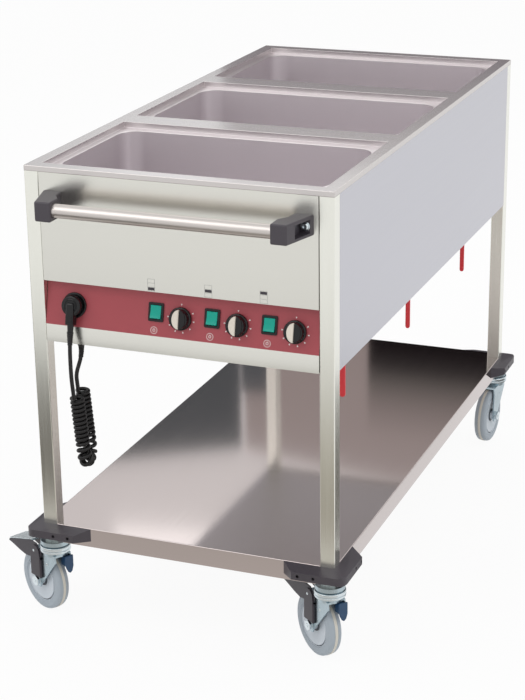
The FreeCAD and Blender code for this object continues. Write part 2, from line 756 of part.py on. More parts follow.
def make_terminal_block():
    """Terminal strip on the cabinet floor behind the front."""
    z = cabinet_bottom + 2 * sheet
    block = centred_box(120, 60, 90, 30, z, z + 26)
    ribs = [centred_box(84 + 18 * k, 60, 2.0, 34, z + 6, z + 30) for k in range(5)]
    return fuse([block] + ribs)


# ---------------------------------------------------------------- casters
def wheel_frame(corner):
    """Local X along the trail, local Y across the wheel, local Z up, origin under the swivel."""
    turn = FreeCAD.Rotation(V(0, 0, 1), caster_angles[corner])
    return FreeCAD.Placement(leg_centres[corner], turn)


def in_wheel_frame(shape, corner):
    placed = shape.copy()
    placed.Placement = wheel_frame(corner).multiply(placed.Placement)
    return placed


def make_caster_stem():
    """The fixed half of a caster: top plate, upper race, kingpin and the stem in the leg."""
    plate = rod(V(0, 0, caster_top - 8), V(0, 0, 1), 28.0, 8.0)
    race = Part.makeCone(24.0, 25.0, 2.0, V(0, 0, caster_top - 10), V(0, 0, 1))
    stem = rod(V(0, 0, caster_top), V(0, 0, 1), 6.0, 52.0)
    expander = centred_box(0, 0, leg - 2 * leg_wall, leg - 2 * leg_wall, caster_top + 9, caster_top + 47)
    kingpin = rod(V(0, 0, caster_top - 37), V(0, 0, 1), 5.0, 30.0)
    head = rod(V(0, 0, caster_top - 40), V(0, 0, 1), 8.0, 4.0)
    return fuse([plate, race, stem, expander, kingpin, head])


def fork_leg(side):
    """One pressed side of the fork, from the crown down to the axle."""
    inner = side * fork_gap / 2.0
    z = wheel_radius
    low = z - 13.0
    t = wheel_trail
    edge = [(-22, 132), (-24, 118), (t - 12, z - 4), (t - 7, low), (t + 7, low), (t + 12, z - 4),
            (t + 12, z + 14), (t + 8, 132)]
    return prism([V(x, inner, height) for x, height in edge], V(0, side * fork_sheet, 0))


def make_fork():
    """The swivelling fork: a round crown, two legs and the axle bolt with its nuts."""
    crown = Part.makeCone(24.0, 26.0, 8.0, V(0, 0, 128), V(0, 0, 1))
    dish = rod(V(0, 0, 136), V(0, 0, 1), 29.0, 12.5)
    bridge = box(-22, wheel_trail + 8, -fork_gap / 2.0 - fork_sheet, fork_gap / 2.0 + fork_sheet, 128, 132)
    pin_hole = rod(V(0, 0, 100), V(0, 0, 1), 5.0 + running_gap, 60)
    body = fuse([crown, dish, bridge, fork_leg(1), fork_leg(-1)]).cut(pin_hole)
    half = fork_gap / 2.0 + fork_sheet
    axle = rod(V(wheel_trail, -half, wheel_radius), V(0, 1, 0), axle_radius, 2 * half)
    body = body.cut(axle)
    heads = [hexagon(V(wheel_trail, s * half, wheel_radius), V(0, s, 0), 16.0, 7.0) for s in (-1, 1)]
    tail = rod(V(wheel_trail, -half - 10, wheel_radius), V(0, 1, 0), axle_radius, 10)
    bolt = fuse([axle, tail] + heads)
    return Part.makeCompound([body, bolt])


def make_hub():
    """The moulded wheel centre, dished on both sides, with a bushed bore."""
    half = tyre_width / 2.0
    z = wheel_radius
    disc = rod(V(wheel_trail, -half + 2, z), V(0, 1, 0), hub_radius, 2 * half - 4)
    boss = rod(V(wheel_trail, -half - 2.5, z), V(0, 1, 0), 10.0, 2 * half + 5)
    ring_outer = rod(V(wheel_trail, -half, z), V(0, 1, 0), hub_radius - 6, 5.0)
    ring_inner = rod(V(wheel_trail, -half, z), V(0, 1, 0), 14.0, 5.0)
    dish = ring_outer.cut(ring_inner)
    far_dish = dish.mirror(V(0, 0, 0), V(0, 1, 0))
    bore = rod(V(wheel_trail, -half - 5, z), V(0, 1, 0), axle_radius + running_gap, 2 * half + 10)
    return disc.cut(dish).cut(far_dish).fuse(boss).cut(bore).removeSplitter()


def make_tyre():
    """The rubber tyre with rounded shoulders."""
    half = tyre_width / 2.0
    z = wheel_radius
    solid = rod(V(wheel_trail, -half, z), V(0, 1, 0), wheel_radius, tyre_width)
    solid = rim_rounded(solid, 4.0, lambda b: True)
    hole = rod(V(wheel_trail, -half - 1, z), V(0, 1, 0), hub_radius, tyre_width + 2)
    return solid.cut(hole)


def make_pedal():
    """The brake pedal: a tread plate over the wheel on two walls that pivot on the fork's legs."""
    half = fork_gap / 2.0 + fork_sheet + body_gap
    plate = prism([V(50, -half, 141), V(126, -half, 119), V(129, -half, 113), V(132, -half, 114),
                   V(128.5, -half, 122.5), V(51, -half, 145)], V(0, 2 * half, 0))
    turns = [math.radians(a) for a in range(180, 301, 15)]
    swing = [(pedal_pivot_t + 21.0 * math.cos(a), pedal_pivot_z + 21.0 * math.sin(a)) for a in turns]
    edge = swing + [(70, 105.5), (91, 109), (111, 114), (128, 117.5), (126, 121), (51, 143.5), (34, 143),
                    (28, 137), (22, 133)]
    walls = []
    for side in (-1, 1):
        wall = prism([V(t, side * half, z) for t, z in edge], V(0, side * 3.0, 0))
        pin = rod(V(pedal_pivot_t, side * fork_gap / 2.0, pedal_pivot_z), V(0, side, 0), 2.5, fork_sheet + 4.5)
        head = rod(V(pedal_pivot_t, side * (half + 3.0), pedal_pivot_z), V(0, side, 0), 4.5, 1.6)
        walls.append(fuse([wall, pin, head]))
    return fuse([plate] + walls)


def pedal_pivot_holes():
    start = fork_gap / 2.0 - 0.5
    bore = 2.5 + running_gap
    return Part.makeCompound([rod(V(pedal_pivot_t, side * start, pedal_pivot_z), V(0, side, 0), bore, 5.0)
                              for side in (-1, 1)])


def make_brake_arm():
    """Moulded covers on both legs of the fork, between the pedal's pivot and the axle."""
    edge = [(20, 72.5), (20, 113), (27, 106), (33, 103.3), (39, 102.5), (46, 103.6), (52, 96), (52, 72.5)]
    outer = fork_gap / 2.0 + fork_sheet
    return Part.makeCompound([prism([V(t, side * outer, z) for t, z in edge], V(0, side * 5.4, 0))
                              for side in (-1, 1)])


def make_brake_block():
    """The coloured brake release: a tab outside the fork's far leg, and a pad inside it."""
    inner = -fork_gap / 2.0
    edge = [(-20, 126), (-22, 104), (-18, 95), (-10, 90.5), (-3, 94), (1, 104), (2, 126)]
    tab = prism([V(t, inner - fork_sheet, z) for t, z in edge], V(0, -8.5, 0))
    pad = box(-22, -10, inner, 2, 112, 128)
    return Part.makeCompound([tab, pad])


# ---------------------------------------------------------------- assembly
rocker_tilt = 8.0

coil_bend_length = math.pi * curl_bend_radius
coil_length = 2.0 * curl_straight + coil_bend_length
back_offset = math.hypot(curl_radius, in_radius)
back_top = (coil_end_back + coil_down * (cord_diameter + in_radius)
            - (coil_across * math.cos(back_angle) + coil_side * math.sin(back_angle)) * back_offset)
front_top = back_top + coil_across * (2.0 * curl_bend_radius)
phases = coil_phases()
front_tip = entry(coil_point(0.0)[0], coil_point(0.0)[1], False)[1]
back_tip = entry(coil_point(coil_length)[0], coil_point(coil_length)[1], True)[1]


def build_body():
    nodes["top"] = make_top()
    for name, cy in zip(("front", "middle", "rear"), well_centres):
        nodes["well_" + name] = make_well(cy)
    nodes["heating_plates"] = Part.makeCompound([make_heating_pad(cy) for cy in well_centres])
    for corner, centre in leg_centres.items():
        nodes["leg_" + corner] = make_leg(centre)
    nodes["front_panel"] = make_front_panel()
    nodes["control_fascia"] = make_fascia()
    nodes["rear_panel"] = make_rear_panel()
    nodes["side_panel_right"] = make_side_panel()
    nodes["side_panel_left"] = mirrored_x(make_side_panel())
    nodes["base_plate"] = make_base_plate()
    nodes["lower_shelf"] = make_shelf()
    front_right = make_bumper()
    bumpers = [front_right, mirrored_x(front_right)]
    bumpers += [mirrored_y(b) for b in bumpers]
    nodes["corner_bumpers"] = Part.makeCompound(bumpers)


def build_handle():
    nodes["handle_tube"] = make_handle_tube()
    nodes["handle_bracket_right"] = make_bracket()
    nodes["handle_bracket_left"] = mirrored_x(make_bracket())
    nodes["handle_screws"] = make_handle_screws()


def build_controls():
    nodes["switch_housings"] = Part.makeCompound([make_switch_housing(x) for x in switch_xs()])
    nodes["thermostats"] = Part.makeCompound([make_thermostat(x) for x in knob_xs()])
    for i in range(well_count):
        nodes["rocker_%d" % (i + 1)] = make_rocker(switch_xs()[i])
        nodes["knob_%d" % (i + 1)] = make_knob(knob_xs()[i])
    nodes["parking_socket"] = make_parking_socket()
    nodes["mains_plug"] = make_plug()
    nodes["cable_gland"] = make_gland()
    nodes["terminal_block"] = make_terminal_block()


def build_cord():
    nodes["cord_plug_lead"] = make_lead("plug lead", plug_lead_points())
    nodes["cord_curl"] = make_curl()
    nodes["cord_gland_lead"] = make_lead("gland lead", gland_lead_points())


def build_drains():
    nodes["drain_pipes"] = Part.makeCompound([make_drain_pipe(cy) for cy in well_centres])
    nodes["drain_valves"] = Part.makeCompound([make_drain_valve(cy) for cy in well_centres])
    for i, cy in enumerate(well_centres):
        nodes["drain_lever_%d" % (i + 1)] = make_lever(cy)


def build_casters():
    stems = []
    for corner in leg_centres:
        stem = make_caster_stem()
        stem.translate(leg_centres[corner])
        stems.append(stem)
        braked = corner in ("fl", "fr")
        fork = make_fork()
        if braked:
            fork = fork.cut(pedal_pivot_holes())
            nodes["brake_pedal_" + corner] = in_wheel_frame(make_pedal(), corner)
            nodes["brake_arm_" + corner] = in_wheel_frame(make_brake_arm(), corner)
            nodes["brake_block_" + corner] = in_wheel_frame(make_brake_block(), corner)
        nodes["fork_" + corner] = in_wheel_frame(fork, corner)
        nodes["hub_" + corner] = in_wheel_frame(make_hub(), corner)
        nodes["tyre_" + corner] = in_wheel_frame(make_tyre(), corner)
    nodes["caster_stems"] = Part.makeCompound(stems)


def on_cord(name):
    return name.startswith("cord_") or name == "mains_plug"


def write_parts():
    """Moves the origin to the middle of the footprint and writes one file per node."""
    bounds = FreeCAD.BoundBox()
    for name, shape in nodes.items():
        if not on_cord(name):
            bounds.add(shape.optimalBoundingBox(False, False))
    shift = V(-bounds.Center.x, -bounds.Center.y, 0)
    print("shift", round(shift.x, 4), round(shift.y, 4), "lowest", round(bounds.ZMin, 4))
    print("size", round(bounds.XLength, 2), round(bounds.YLength, 2), round(bounds.ZLength, 2))
    os.makedirs("parts", exist_ok=True)
    for name, shape in nodes.items():
        moved = shape.copy()
        moved.translate(shift)
        if not moved.isValid():
            print("not valid:", name)
        moved.exportStep("parts/%s.step" % name)


build_body()
build_handle()
build_controls()
build_cord()
build_drains()
build_casters()
write_parts()
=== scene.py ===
"""A heated serving trolley with three wells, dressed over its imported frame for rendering."""
import logging
import math
from dataclasses import dataclass
from enum import Enum

import bmesh
import bpy
from bmesh.types import BMesh, BMVert
from mathutils import Matrix, Vector


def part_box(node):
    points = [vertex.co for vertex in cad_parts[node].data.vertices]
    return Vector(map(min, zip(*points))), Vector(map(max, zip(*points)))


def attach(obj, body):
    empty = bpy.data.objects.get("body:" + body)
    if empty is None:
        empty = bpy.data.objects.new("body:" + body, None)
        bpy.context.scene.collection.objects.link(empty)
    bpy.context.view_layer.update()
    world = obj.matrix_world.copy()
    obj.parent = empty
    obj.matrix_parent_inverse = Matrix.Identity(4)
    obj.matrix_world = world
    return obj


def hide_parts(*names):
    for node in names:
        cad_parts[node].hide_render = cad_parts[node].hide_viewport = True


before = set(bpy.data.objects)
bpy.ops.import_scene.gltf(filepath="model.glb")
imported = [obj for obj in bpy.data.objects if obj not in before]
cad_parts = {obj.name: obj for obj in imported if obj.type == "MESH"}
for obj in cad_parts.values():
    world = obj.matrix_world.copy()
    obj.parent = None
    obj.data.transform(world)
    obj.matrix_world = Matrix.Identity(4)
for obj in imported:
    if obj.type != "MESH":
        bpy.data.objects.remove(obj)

Point = tuple[float, float, float]
Socket = bpy.types.NodeSocket
LOG = logging.getLogger("trolley")
MM = 0.001
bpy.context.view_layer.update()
TOP_LOW, TOP_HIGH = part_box("top")
ORIGIN = Vector(((TOP_LOW.x + TOP_HIGH.x) / 2.0, TOP_LOW.y, 0.0))
ROW = Matrix.Translation(ORIGIN) @ Matrix.Scale(MM, 4)


class Corner(Enum):
    """The four corners, each with its leg's centre in mm and its wheel's trail direction in degrees."""

    FRONT_LEFT = ("fl", -278.0, 14.0, 152.5)
    FRONT_RIGHT = ("fr", 278.0, 14.0, 141.0)
    REAR_LEFT = ("rl", -278.0, 1174.0, -80.0)
    REAR_RIGHT = ("rr", 278.0, 1174.0, -94.0)

    @property
    def key(self) -> str:
        """The corner's short name in the frame."""
        return self.value[0]

    @property
    def place(self) -> Matrix:
        """From the caster's own mm, X along its trail and Z up, to the row frame."""
        _, x, y, angle = self.value
        return ROW @ Matrix.Translation((x, y, 0.0)) @ Matrix.Rotation(math.radians(angle), 4, "Z")

    @property
    def braked(self) -> bool:
        """Whether this caster has a brake."""
        return self in (Corner.FRONT_LEFT, Corner.FRONT_RIGHT)


class Grain(Enum):
    """The way a sheet was brushed: streaks per metre along X, Y and Z."""

    ALONG_X = (5.0, 420.0, 420.0)
    ALONG_Y = (420.0, 5.0, 420.0)
    ALONG_Z = (420.0, 420.0, 5.0)


# ---------------------------------------------------------------------------------------- finishes
def linear(hex_colour: str) -> tuple[float, float, float, float]:
    """Turns an sRGB hex colour to linear.

    Args:
        hex_colour: six hex digits, such as "D5D6CF".

    Returns:
        The linear red, green and blue, and an alpha of 1.
    """
    channels = [int(hex_colour[i:i + 2], 16) / 255.0 for i in (0, 2, 4)]
    red, green, blue = [c / 12.92 if c <= 0.04045 else ((c + 0.055) / 1.055) ** 2.4 for c in channels]
    return red, green, blue, 1.0


def add_node(tree: bpy.types.NodeTree, kind: str, settings: dict, links: dict | None = None) -> bpy.types.Node:
    """Adds a shader node.

    Args:
        tree: the material's node tree.
        kind: the node's type name.
        settings: its attributes and input values, by name, or by number for inputs that share a name.
        links: output sockets to join to its inputs, by input name or number.

    Returns:
        The new node.
    """
    node = tree.nodes.new(kind)
    for key, value in settings.items():
        if isinstance(key, str) and hasattr(node, key):
            setattr(node, key, value)
        else:
            node.inputs[key].default_value = value
    for key, socket in (links or {}).items():
        tree.links.new(socket, node.inputs[key])
    return node


@dataclass(frozen=True)
class Surface:
    """A material in the making: its node tree, its Principled shader and the object coordinates."""

    tree: bpy.types.NodeTree
    shader: bpy.types.Node
    place: Socket

    def feed(self, socket: Socket, name: str) -> None:
        """Joins an output to the shader's input of that name."""
        self.tree.links.new(socket, self.shader.inputs[name])


@dataclass(frozen=True)
class Finish:
    """A surface: its name, colour and shine, with a faint unevenness of the size in mm."""

    name: str
    colour: str
    roughness: float
    metallic: float = 0.0
    ior: float = 1.5
    speck_mm: float = 1.5
    bump_mm: float = 0.05
    shade: float = 0.08
    relief: float = 0.35

    def material(self) -> bpy.types.Material:
        """Makes the material once, and returns it."""
        made = bpy.data.materials.get(self.name)
        if made is None:
            made = bpy.data.materials.new(self.name)
            made.use_nodes = True
            tree = made.node_tree
            shader = tree.nodes["Principled BSDF"]
            shader.inputs["Base Color"].default_value = linear(self.colour)
            shader.inputs["Metallic"].default_value = self.metallic
            shader.inputs["Roughness"].default_value = self.roughness
            if self.metallic == 0.0:
                shader.inputs["IOR"].default_value = self.ior
            place = add_node(tree, "ShaderNodeTexCoord", {}).outputs["Object"]
            self.dress(Surface(tree, shader, place))
        return made

    def dress(self, made: Surface) -> None:
        """Adds a fine grain in the relief, and slow cloudy changes of colour and shine.

        Args:
            made: the material in the making.
        """
        grain = add_node(made.tree, "ShaderNodeTexNoise", {"Scale": 1000.0 / self.speck_mm, "Detail": 2.0},
                         {"Vector": made.place})
        cloud = add_node(made.tree, "ShaderNodeTexNoise", {"Scale": 14.0, "Detail": 3.0}, {"Vector": made.place})
        self.follow(made, cloud.outputs[0], cloud.outputs[0], grain.outputs[0], 0.08)

    def follow(self, made: Surface, tone: Socket, shine: Socket, height: Socket, spread: float) -> None:
        """Lets colour, roughness and relief follow patterns that go from 0 to 1.

        Args:
            made: the material in the making.
            tone: the pattern of the colour, from a darker shade to a brighter one.
            shine: the pattern of the roughness.
            height: the pattern of the relief.
            spread: the roughness between its least and its most.
        """
        light = linear(self.colour)[:3]
        dark, bright = [(*(min(1.0, c * share) for c in light), 1.0) for share in (1.0 - self.shade, 1.0 + self.shade)]
        mix = add_node(made.tree, "ShaderNodeMix", {"data_type": "RGBA", 6: dark, 7: bright}, {0: tone})
        made.feed(mix.outputs[2], "Base Color")
        low = max(0.02, self.roughness - spread / 2.0)
        scale = add_node(made.tree, "ShaderNodeMapRange", {"To Min": low, "To Max": low + spread}, {"Value": shine})
        made.feed(scale.outputs[0], "Roughness")
        bump = add_node(made.tree, "ShaderNodeBump", {"Strength": self.relief, "Distance": self.bump_mm * MM},
                        {"Height": height})
        made.feed(bump.outputs[0], "Normal")


@dataclass(frozen=True)
class BrushedSteel(Finish):
    """Stainless sheet, brushed with a 180 grit belt: long faint streaks and a soft reflection.

    The real lines are 0.1 mm wide; they are drawn about 2 mm wide so that they show in the picture.
    """

    grain: Grain = Grain.ALONG_X
    metallic: float = 1.0
    relief: float = 0.14
    clouds: float = 2.4
    spread: float = 0.12

    def dress(self, made: Surface) -> None:
        """Adds streaks along the grain and a slow drift of tone across the sheet.

        Args:
            made: the material in the making.
        """
        along = add_node(made.tree, "ShaderNodeMapping", {"Scale": self.grain.value}, {"Vector": made.place})
        streaks = add_node(made.tree, "ShaderNodeTexNoise", {"Scale": 1.0, "Detail": 4.0, "Roughness": 0.6},
                           {"Vector": along.outputs[0]})
        drift = add_node(made.tree, "ShaderNodeTexNoise", {"Scale": self.clouds, "Detail": 1.0},
                         {"Vector": made.place})
        both = add_node(made.tree, "ShaderNodeMix", {"data_type": "FLOAT", 0: 0.45},
                        {2: drift.outputs[0], 3: streaks.outputs[0]})
        self.follow(made, both.outputs[0], streaks.outputs[0], streaks.outputs[0], self.spread)


@dataclass(frozen=True)
class ZincPlate(Finish):
    """Bright zinc plating on pressed steel: bluish, with faint crystalline flecks."""

    metallic: float = 1.0
    speck_mm: float = 6.0
    shade: float = 0.12

    def dress(self, made: Surface) -> None:
        """Adds flecks in colour and shine.

        Args:
            made: the material in the making.
        """
        flecks = add_node(made.tree, "ShaderNodeTexVoronoi", {"Scale": 1000.0 / self.speck_mm},
                          {"Vector": made.place})
        fine = add_node(made.tree, "ShaderNodeTexNoise", {"Scale": 900.0, "Detail": 2.0}, {"Vector": made.place})
        both = add_node(made.tree, "ShaderNodeMix", {"data_type": "FLOAT", 0: 0.4},
                        {2: fine.outputs[0], 3: flecks.outputs["Color"]})
        self.follow(made, both.outputs[0], fine.outputs[0], fine.outputs[0], 0.12)


# Satin stainless sheet, in copies whose colours hold painted light and painted reflection: the front is a brighter
# copy, where the light falls evenly; the sides are a cooler copy, a painted reflection of the room; the shelf is a
# pinkish copy and the wells a mauve copy, both painted reflections.
FRONT_STEEL = BrushedSteel("brushed stainless front", "DDDCD5", 0.26, shade=0.02, relief=0.02, spread=0.05)
RIM_STEEL = BrushedSteel("brushed stainless rim", "CDC8C6", 0.24, shade=0.05, relief=0.08)
# Painted shade: a darker copy of the steel for the deck's top.
DECK_STEEL = BrushedSteel("brushed stainless deck", "BBB7B7", 0.24, shade=0.05, relief=0.08)
# Painted highlight: a brighter copy of the steel for the ledges round the wells.
LEDGE_STEEL = BrushedSteel("brushed stainless ledge", "D9D3D4", 0.3, shade=0.04, relief=0.06)
SIDE_STEEL = BrushedSteel("brushed stainless side", "C5C5CC", 0.34, shade=0.035, grain=Grain.ALONG_Y)
SHELF_STEEL = BrushedSteel("brushed stainless shelf", "C2B8B6", 0.085, shade=0.04, grain=Grain.ALONG_Y, spread=0.05)
WELL_STEEL = BrushedSteel("drawn stainless well", "E2DCDF", 0.43, shade=0.02, grain=Grain.ALONG_Z, relief=0.03)
LEG_STEEL = BrushedSteel("satin stainless tube", "EAEAE2", 0.24, shade=0.05, grain=Grain.ALONG_Z)
HANDLE_STEEL = BrushedSteel("satin stainless handle", "C8C2BE", 0.36, shade=0.10, grain=Grain.ALONG_X)
FLOOR_STEEL = BrushedSteel("mill stainless cabinet floor", "C9C9CC", 0.42, shade=0.06, grain=Grain.ALONG_Y)
# Zinc plating: bright and bluish.
ZINC = ZincPlate("zinc plated steel", "AEBDC4", 0.28)
BRIGHT_ZINC = ZincPlate("bright zinc fastener", "D5DEE2", 0.2, shade=0.06)
# Glass-filled polyamide, moulded with a fine spark-eroded texture: dark grey and dull.
GREY_NYLON = Finish("moulded grey polyamide", "443F46", 0.42, speck_mm=1.2, bump_mm=0.12, shade=0.10)
DARK_NYLON = Finish("moulded dark polyamide", "38333B", 0.42, speck_mm=1.2, bump_mm=0.10, shade=0.10)
# Polycarbonate and ABS of the controls: near black, smooth.
BLACK_ABS = Finish("moulded black ABS", "0C0B0E", 0.16, ior=1.42, speck_mm=2.0, bump_mm=0.02, shade=0.15)
# Painted shade: flat black for holes and recesses where only shade shows.
HOLE_BLACK = Finish("shadow black", "0A0A0B", 0.8, bump_mm=0.0)
CREAM_ABS = Finish("cream inlay", "E6DDD0", 0.32, speck_mm=2.0, bump_mm=0.02, shade=0.04)
GREEN_LENS = Finish("green polycarbonate lens", "00A692", 0.18, ior=1.4, speck_mm=3.0, bump_mm=0.04, shade=0.14)
# Screen-printed polyester strip: a dull red with a faint sheen, and its white print.
RED_PRINT = Finish("red printed strip", "A8474F", 0.36, speck_mm=1.0, bump_mm=0.015, shade=0.05)
WHITE_PRINT = Finish("white screen print", "E9DEDC", 0.5, bump_mm=0.0, shade=0.03)
GREY_PRINT = Finish("grey screen print", "8A8D8B", 0.5, bump_mm=0.0, shade=0.03)
# Polypropylene wheel centre and thermoplastic rubber tyre, both grey and dull.
HUB_PLASTIC = Finish("grey polypropylene", "CDD5DD", 0.40, speck_mm=1.5, bump_mm=0.06, shade=0.05)
TYRE_RUBBER = Finish("grey non-marking rubber", "A8B2BB", 0.5, speck_mm=1.2, bump_mm=0.10, shade=0.06)
TREAD_RUBBER = Finish("cream tread line", "DAD6CC", 0.6, speck_mm=1.5, bump_mm=0.12, shade=0.08)
# Painted shade: dark rings for the shade in the wheel's groove and round its bearing boss.
GROOVE_PLASTIC = Finish("shaded polypropylene groove", "4F545B", 0.6, speck_mm=1.5, bump_mm=0.06, shade=0.05)
BLUE_NYLON = Finish("blue polyamide", "1F4468", 0.38, speck_mm=1.5, bump_mm=0.06, shade=0.12)
RED_VINYL = Finish("dipped red vinyl", "E5303B", 0.3, speck_mm=4.0, bump_mm=0.10, shade=0.07)
CORD_RUBBER = Finish("black rubber sheath", "100E0F", 0.42, ior=1.42, speck_mm=0.9, bump_mm=0.05, shade=0.12)
NICKEL = ZincPlate("dull nickel plated brass", "7D786E", 0.34, shade=0.07)
CERAMIC = Finish("pale insulating body", "D8D2C6", 0.55, speck_mm=1.5, bump_mm=0.08, shade=0.06)


# ---------------------------------------------------------------------------------------- mesh tools
def piece(name: str, bm: BMesh, place: Matrix, finish: Finish, body: str,
          replaced: tuple[str, ...] = (), crisp: float = 34.0) -> bpy.types.Object:
    """Turns a finished mesh into a piece of the trolley.

    Args:
        name: the piece's name.
        bm: its shape, which is used up.
        place: from the shape's own frame to the row frame.
        finish: its surface.
        body: the body it rides on.
        replaced: the CAD nodes it stands for.
        crisp: edges turned by more than this many degrees stay sharp.

    Returns:
        The new object.
    """
    bmesh.ops.transform(bm, matrix=place, verts=bm.verts)
    mesh = bpy.data.meshes.new(name)
    bm.to_mesh(mesh)
    bm.free()
    mesh.shade_smooth()
    mesh.set_sharp_from_angle(angle=math.radians(crisp))
    made = bpy.data.objects.new(name, mesh)
    bpy.context.scene.collection.objects.link(made)
    weighted = made.modifiers.new("even shading", "WEIGHTED_NORMAL")
    weighted.keep_sharp = True
    mesh.materials.append(finish.material())
    settle(made, body, replaced)
    LOG.info("%s: %d faces on %s", name, len(mesh.polygons), body)
    return made


def settle(made: bpy.types.Object, body: str, replaced: tuple[str, ...]) -> None:
    """Puts an object on its body and hides the nodes it stands for.

    Args:
        made: the object.
        body: the body it rides on.
        replaced: the CAD nodes it stands for.
    """
    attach(made, body)
    if replaced:
        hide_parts(*replaced)


def softened(node: str, finish: Finish, body: str, width: float, steps: int = 2,
             sharp: float = 38.0, slim: float = 1.0, lowest: float = -1.0) -> bpy.types.Object:
    """Replaces a CAD node by a copy of it with rounded edges.

    Args:
        node: the CAD node.
        finish: its surface.
        body: the body it rides on.
        width: the rounding's width in mm.
        steps: the faces across each rounding.
        sharp: edges turned by more than this many degrees are rounded.
        slim: the share of its width along X that the copy keeps.
        lowest: the height in mm below which nothing of it reaches.

    Returns:
        The new object.
    """
    bm = bmesh.new()
    bm.from_mesh(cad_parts[node].data)
    low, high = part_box(node)
    middle = (low.x + high.x) / 2.0
    for vert in bm.verts:
        vert.co.x = middle + (vert.co.x - middle) * slim
        vert.co.z = max(vert.co.z, lowest * MM)
    bmesh.ops.remove_doubles(bm, verts=bm.verts, dist=0.02 * MM)
    bmesh.ops.dissolve_limit(bm, angle_limit=math.radians(0.6), verts=bm.verts, edges=bm.edges)
    folds = [e for e in bm.edges if len(e.link_faces) == 2 and e.calc_face_angle(0.0) > math.radians(sharp)]
    bmesh.ops.bevel(bm, geom=folds, offset=width * MM, offset_type="OFFSET", segments=steps, profile=0.5,
                    affect="EDGES", clamp_overlap=True, material=-1)
    return piece(node + "_dressed", bm, Matrix(), finish, body, (node,))


def block(bm: BMesh, low: Point, high: Point) -> list[BMVert]:
    """Adds a box between two corners and returns its vertices."""
    lower, upper = Vector(low), Vector(high)
    size = upper - lower
    place = Matrix.Translation((lower + upper) / 2.0) @ Matrix.Diagonal((*size, 1.0))
    return bmesh.ops.create_cube(bm, size=1.0, matrix=place)["verts"]


def prism(bm: BMesh, outline: list[Point], run: Point) -> list[BMVert]:
    """Adds a solid with a flat outline, pulled along run, and returns its vertices."""
    base = bm.faces.new([bm.verts.new(p) for p in outline])
    grown = bmesh.ops.extrude_face_region(bm, geom=[base], use_keep_orig=True)["geom"]
    top = [g for g in grown if isinstance(g, BMVert)]
    bmesh.ops.translate(bm, verts=top, vec=Vector(run))
    verts = list(base.verts) + top
    bmesh.ops.recalc_face_normals(bm, faces=list({f for v in verts for f in v.link_faces}))
    return verts


def turned(bm: BMesh, profile: list[tuple[float, float]], place: Matrix = Matrix(), steps: int = 48) -> list[BMVert]:
    """Adds a turned solid.

    Args:
        bm: the mesh to add to.
        profile: radius and height of each corner, from one end of the axis to the other.
        place: from the solid's frame, with Z as its axis, to the mesh's.
        steps: faces round the axis.

    Returns:
        The solid's vertices.
    """
    scratch = bmesh.new()
    verts = [scratch.verts.new((radius, 0.0, height)) for radius, height in profile]
    edges = [scratch.edges.new(pair) for pair in zip(verts, verts[1:])]
    bmesh.ops.spin(scratch, geom=verts + edges, cent=(0, 0, 0), axis=(0, 0, 1), angle=math.tau, steps=steps,
                   use_merge=True)
    bmesh.ops.remove_doubles(scratch, verts=scratch.verts, dist=0.001)
    bmesh.ops.recalc_face_normals(scratch, faces=scratch.faces)
    bmesh.ops.transform(scratch, matrix=place, verts=scratch.verts)
    return join(bm, scratch)


def join(bm: BMesh, other: BMesh) -> list[BMVert]:
    """Moves another mesh into this one and returns its vertices here."""
    before = set(bm.verts)
    store = bpy.data.meshes.new("scratch")
    other.to_mesh(store)
    other.free()
    bm.from_mesh(store)
    bpy.data.meshes.remove(store)
    return [v for v in bm.verts if v not in before]


def rounding(bm: BMesh, verts: list[BMVert], width: float, steps: int = 3, sharp: float = 30.0) -> None:
    """Rounds the sharp edges among the given vertices.

    Args:
        bm: the mesh.
        verts: the solid's vertices.
        width: the rounding's width.
        steps: faces across each rounding.
        sharp: edges turned by more than this many degrees are rounded.
    """
    inside = set(verts)
    edges = [e for e in bm.edges if e.verts[0] in inside and e.verts[1] in inside and len(e.link_faces) == 2
             and e.calc_face_angle(0.0) > math.radians(sharp)]
    bmesh.ops.bevel(bm, geom=edges, offset=width, offset_type="OFFSET", segments=steps, profile=0.5,
                    affect="EDGES", clamp_overlap=True, material=-1)


def pointing(position: Point, axis: Point) -> Matrix:
    """The frame at a position whose Z points along the axis."""
    return Matrix.Translation(position) @ Vector(axis).to_track_quat("Z", "Y").to_matrix().to_4x4()


